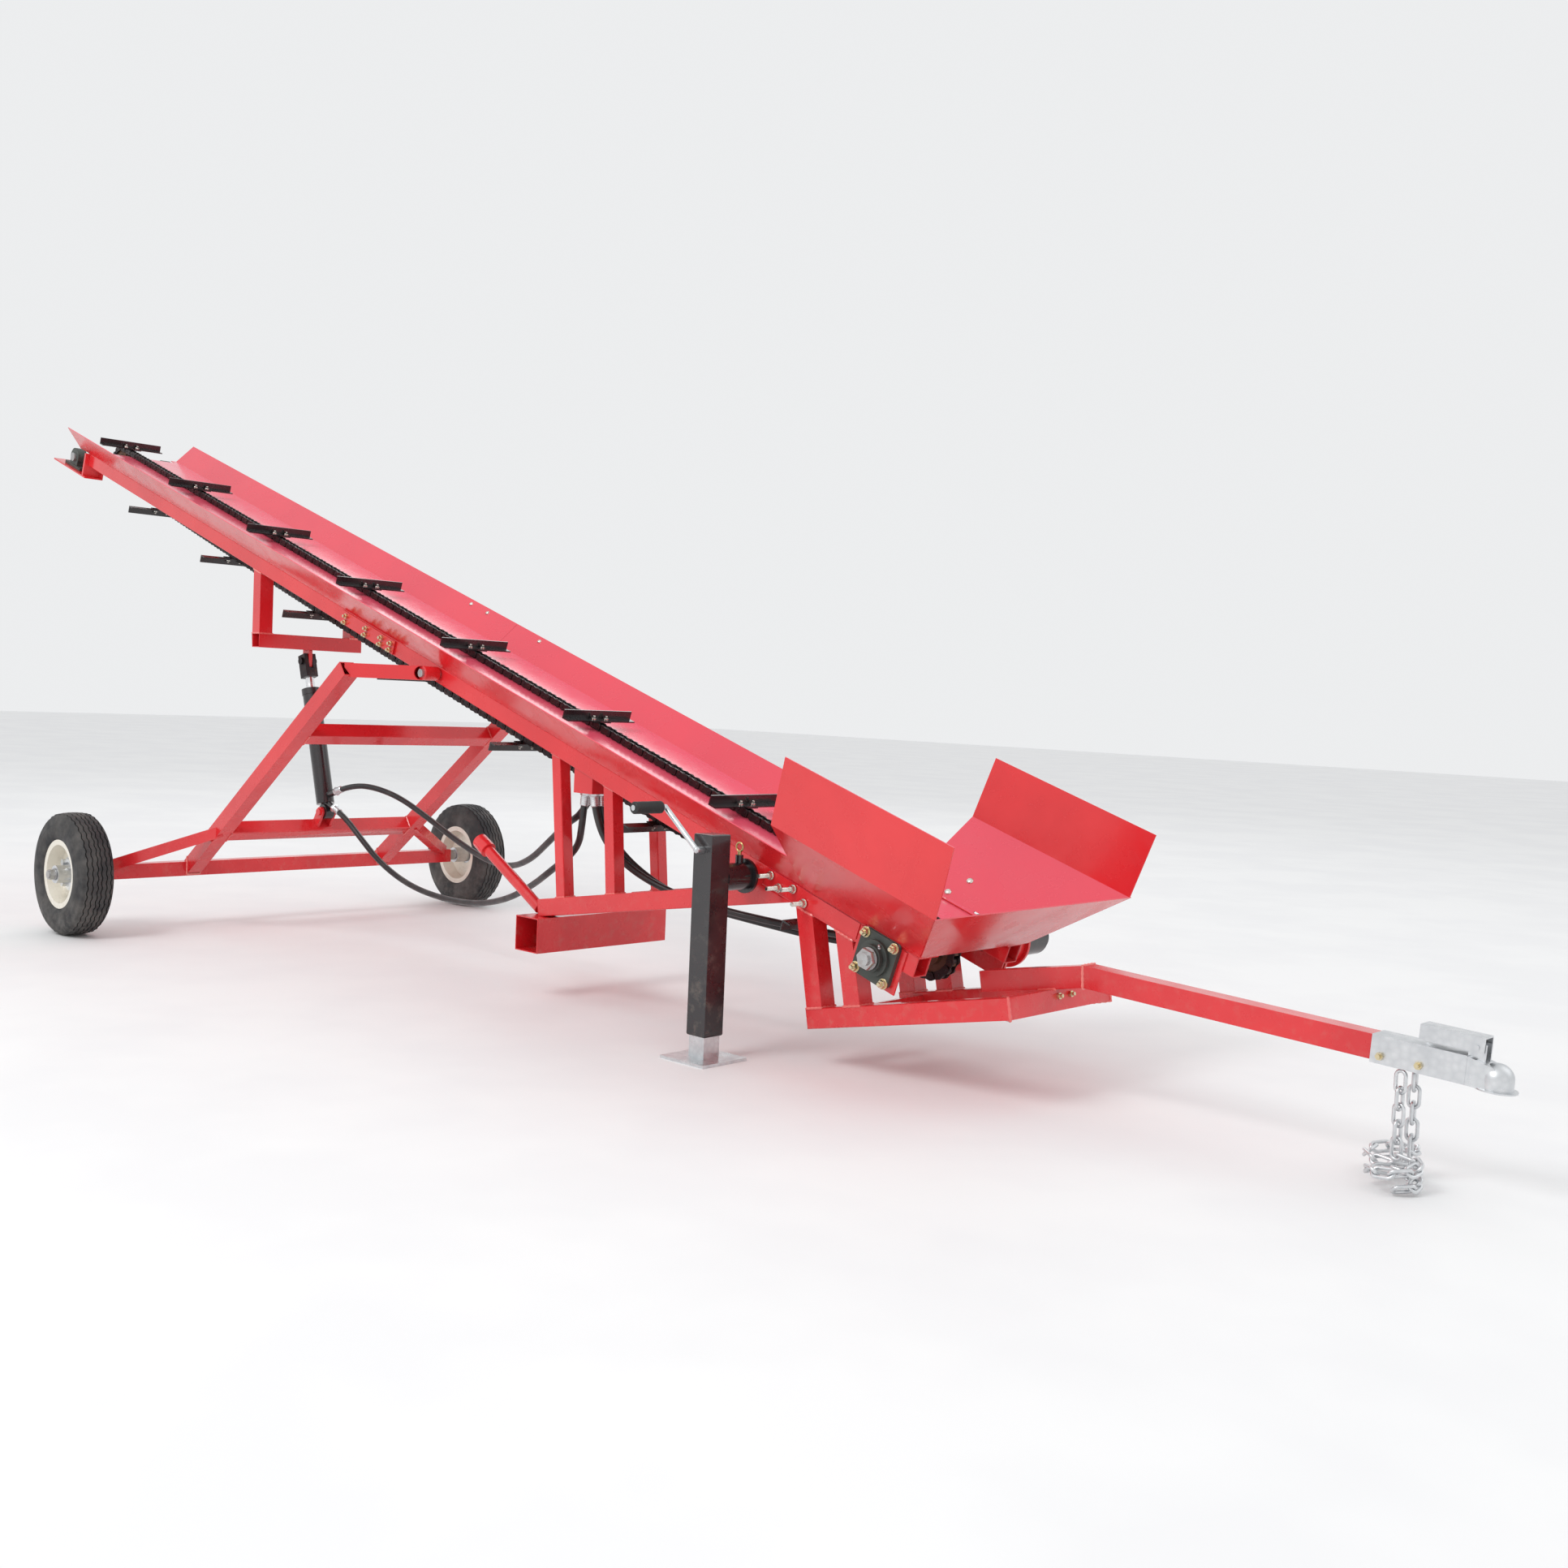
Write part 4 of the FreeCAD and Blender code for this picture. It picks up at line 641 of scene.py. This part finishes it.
def bead(mesh, points, radius=0.0032, closed=True):
    """A rippled weld bead along a line."""
    sweep(mesh, spaced(points, 0.0045, closed), lambda i: radius * (1 + 0.22 * sin(i * 2.1)), 6, closed)


def tube_corners(a, b, size, beside=ACROSS):
    """The four corners of a square tube's section at a, and the tube's direction."""
    along = (b - a).normalized()
    side = (beside - along * beside.dot(along)).normalized()
    third = along.cross(side)
    half = size / 2
    return [a + side * half * p + third * half * q for p, q in ((-1, -1), (1, -1), (1, 1), (-1, 1))], along


def collar(mesh, a, b, size, spot, normal, beside=ACROSS):
    """A bead round the tube a-b where it meets the plane through spot."""
    corners, along = tube_corners(a, b, size, beside)
    bead(mesh, [c + along * ((spot - c).dot(normal) / along.dot(normal)) for c in corners])


def frame_welds():
    """Beads at the legs, the stands' corners, the hanging bracket and the tongue."""
    mesh = bmesh.new()
    rear_legs = ((1.795, 0.792, 1.850, 0.262), (2.030, 0.715, 2.066, 0.298))
    front_legs = ((2.772, 0.500, 2.861, 0.056), (2.904, 0.450, 2.982, 0.080))
    sill_a, sill_b = at(1.752, 0, 0.262), at(2.790, 0, 0.428)
    sill_up = (sill_b - sill_a).normalized().cross(ACROSS)
    base_a, base_b = at(2.820, 0, 0.1144), at(3.393, 0, 0.231)
    base_dir = (base_b - base_a).normalized()
    base_up = base_dir.cross(ACROSS)
    for sign in (-1, 1):
        y = sign * RAIL_Y
        for top_x, top_z, foot_x, foot_z in rear_legs:
            top, foot = at(top_x, y, top_z), at(foot_x, y, foot_z)
            collar(mesh, top, foot, LEG_TUBE, BED_UNDER, UP)
            collar(mesh, top, foot, LEG_TUBE, sill_a + sill_up * TUBE / 2, sill_up)
        for top_x, top_z, foot_x, foot_z in front_legs:
            top, foot = at(top_x, y, top_z), at(foot_x, y, foot_z)
            collar(mesh, top, foot, TUBE, BED_UNDER, UP)
            collar(mesh, top, foot, TUBE, base_a + base_up * TUBE / 2, base_up)
        hang = at(0.092, y, 1.345), at(0.092, y, 1.058)
        collar(mesh, *hang, TUBE, BED_UNDER, UP)
        collar(mesh, *hang, TUBE, at(0.092, 0, 1.0584), Vector((0, 0, 1)))
        corner = base_b + ACROSS * y
        slant = (base_dir + ACROSS * -sign).normalized()
        corners, along = tube_corners(corner, corner + base_dir, TUBE)
        bead(mesh, [c + along * ((corner - c).dot(slant) / along.dot(slant)) for c in corners])
    bend = at(3.486, 0, 0.301)
    rise = (bend - at(3.205, 0, 0.248)).normalized()
    tilt = (at(4.228, 0, 0.25857) - bend).normalized()
    collar(mesh, bend, bend + rise, TUBE, bend, (rise + tilt).normalized())
    seat = at(3.393, 0, 0.2575)
    for y in (-TUBE / 2, TUBE / 2):
        bead(mesh, [seat - rise * 0.024 + ACROSS * y, seat + rise * 0.024 + ACROSS * y], 0.0035, False)
    return piece("frame_weld_beads", mesh, WELD, "frame")


def axle_welds():
    """Beads round the crossbars, the truss feet and the braces."""
    mesh = bmesh.new()
    truss_y = 0.390
    foot, head = at(0.020, 0, 0.216), at(1.000, 0, 0.938)
    slope = (head - foot).normalized()
    for x in (0.212, 0.705):
        middle = foot.lerp(head, (x - 0.020) / 0.980)
        for sign in (-1, 1):
            spot = middle + ACROSS * sign * (truss_y - TUBE / 2)
            collar(mesh, middle, spot, TUBE, spot, ACROSS, slope)
    for sign in (-1, 1):
        low, high = foot + ACROSS * sign * truss_y, head + ACROSS * sign * truss_y
        collar(mesh, low, high, TUBE, at(TUBE / 2, 0, AXLE.z), Vector((1, 0, 0)))
    return piece("axle_weld_beads", mesh, WELD, "axle_frame")


frame_welds()
axle_welds()


# ---- studs, nuts and bolt heads -------------------------------------------------------------
def threaded(mesh, origin, axis, radius, length, pitch=0.0016):
    """A threaded end with a chamfered tip."""
    profile = [(0, radius)]
    for i in range(int(length / pitch) - 1):
        profile += [(pitch * (i + 0.5), radius * 0.86), (pitch * (i + 1), radius)]
    profile += [(length, radius * 0.8)]
    lathe(mesh, origin, axis, profile, 14)


def round_head(mesh, origin, axis, radius=0.0095):
    """A carriage bolt's low domed head."""
    lathe(mesh, origin, axis, [(-0.001, radius), (0.0006, radius), (0.0022, radius * 0.86),
                               (0.0036, radius * 0.6), (0.0044, radius * 0.25)], 20)


def hopper_studs():
    """Long bolts that hold the hopper's skirts to the rails."""
    mesh = bmesh.new()
    for u, w in ((2.833, -0.014), (2.869, -0.032), (2.915, -0.014), (2.960, -0.032)):
        for sign in (-1, 1):
            face = bed(u, sign * (RAIL_OUT + 0.0063), w)
            out = ACROSS * sign
            lathe(mesh, face, out, [(0, 0.0115), (0.0015, 0.0115), (0.002, 0.011)], 20)
            hexagon(mesh, face + out * 0.002, out, 0.0172, 0.0085)
            threaded(mesh, face + out * 0.0105, out, 0.0056, 0.034)
    piece("hopper_studs", mesh, THREAD, "frame")


def panel_bolts():
    """Domed bolt heads on the hopper's slopes and the trough's wings."""
    mesh = bmesh.new()
    for sign in (-1, 1):
        slope = (bed(0, sign * 0.402, 0.178) - bed(0, sign * 0.216, 0.004)).normalized()
        face = DOWN.cross(slope) * sign
        for u, y, w in ((3.086, 0.2716, 0.0560), (3.060, 0.2280, 0.0153)):
            round_head(mesh, bed(u, sign * y, w) + face * 0.0032, face)
        slope = (bed(0, sign * 0.276, 0.078) - bed(0, sign * 0.210, 0)).normalized()
        face = DOWN.cross(slope) * sign
        for u in (0.7478, 0.8495, 1.16):
            round_head(mesh, bed(u, sign * 0.2637, 0.0640) + face * 0.0032, face, 0.0075)
    piece("panel_bolt_heads", mesh, THREAD, "frame")


CHAIN_TALL = 0.023
TAB = 0.003                                 # the chain attachment's plate
FLIGHT_WALL = 0.004


def flight_nuts(name, body, side):
    """Bright nuts and bolt ends on the flights, two to each; side is 1 on the carrying run."""
    mesh = bmesh.new()
    for i in range(FLIGHTS):
        if side > 0:
            u, w = FIRST_FLIGHT_U + i * FLIGHT_PITCH, CHAIN_W
        else:
            u = TAIL_U * 2 - TEETH / 2 * PITCH - FIRST_FLIGHT_U + (i + 1) * FLIGHT_PITCH
            w = return_w(u) - 0.0006
        for y in (-0.024, 0.024):
            seat = bed(u + 0.014, y, w + side * (CHAIN_TALL / 2 + TAB + FLIGHT_WALL))
            hexagon(mesh, seat, UP * side, 0.0134, 0.0056)
            threaded(mesh, seat + UP * side * 0.005, UP * side, 0.0042, 0.0075, 0.0013)
    piece(name, mesh, THREAD, body)


def shaft_nut():
    """A nut, its washer and the shaft's chamfered end outside the near bearing."""
    mesh = bmesh.new()
    face = Vector((DRIVE.x, -0.2506, DRIVE.z))
    lathe(mesh, face, -ACROSS, [(0, 0.0275), (0.0025, 0.0275), (0.003, 0.027)], 32)
    hexagon(mesh, face - ACROSS * 0.003, -ACROSS, 0.0460, 0.0120)
    threaded(mesh, face - ACROSS * 0.0145, -ACROSS, 0.0162, 0.0068, 0.002)
    piece("drive_shaft_nut", mesh, STEEL, "drive")


def bearing_bolts():
    """Yellow bolts, washers and a grease nipple on the near flange bearing."""
    mesh = bmesh.new()
    for u in (-0.046, 0.046):
        for w in (-0.046, 0.046):
            face = DRIVE + DOWN * u + UP * w
            face.y = -0.227
            lathe(mesh, face, -ACROSS, [(0, 0.0135), (0.0022, 0.0135), (0.0026, 0.013)], 20)
            hexagon(mesh, face - ACROSS * 0.0026, -ACROSS, 0.0190, 0.0085)
            threaded(mesh, face - ACROSS * 0.011, -ACROSS, 0.0058, 0.0085)
    piece("bearing_bolts", mesh, YELLOW_ZINC, "frame")
    mesh = bmesh.new()
    face = DRIVE + DOWN * 0.012 + UP * 0.030
    face.y = -0.2355
    lathe(mesh, face, (UP - ACROSS * 0.8).normalized(),
          [(0, 0.004), (0.004, 0.004), (0.005, 0.0026), (0.009, 0.0026), (0.010, 0.0036), (0.013, 0.002)], 12)
    piece("bearing_grease_nipple", mesh, ZINC, "frame")


def prop_cap():
    """A rounded cap over the prop tube's end, painted with it."""
    mesh = bmesh.new()
    low, high = at(1.720, -0.1746, 0.255), at(1.462, -0.1746, 0.402)
    axis = (high - low).normalized()
    lathe(mesh, high + axis * 0.0002, axis,
          [(0, 0.0205), (0.001, 0.0244), (0.044, 0.0244), (0.050, 0.0225),
           (0.053, 0.018), (0.0545, 0.010)], 36)
    piece("prop_tube_cap", mesh, RED, "frame")


hopper_studs()
panel_bolts()
flight_nuts("flight_nuts_upper", "chain_up", 1)
flight_nuts("flight_nuts_return", "chain_down", -1)
shaft_nut()
bearing_bolts()
prop_cap()
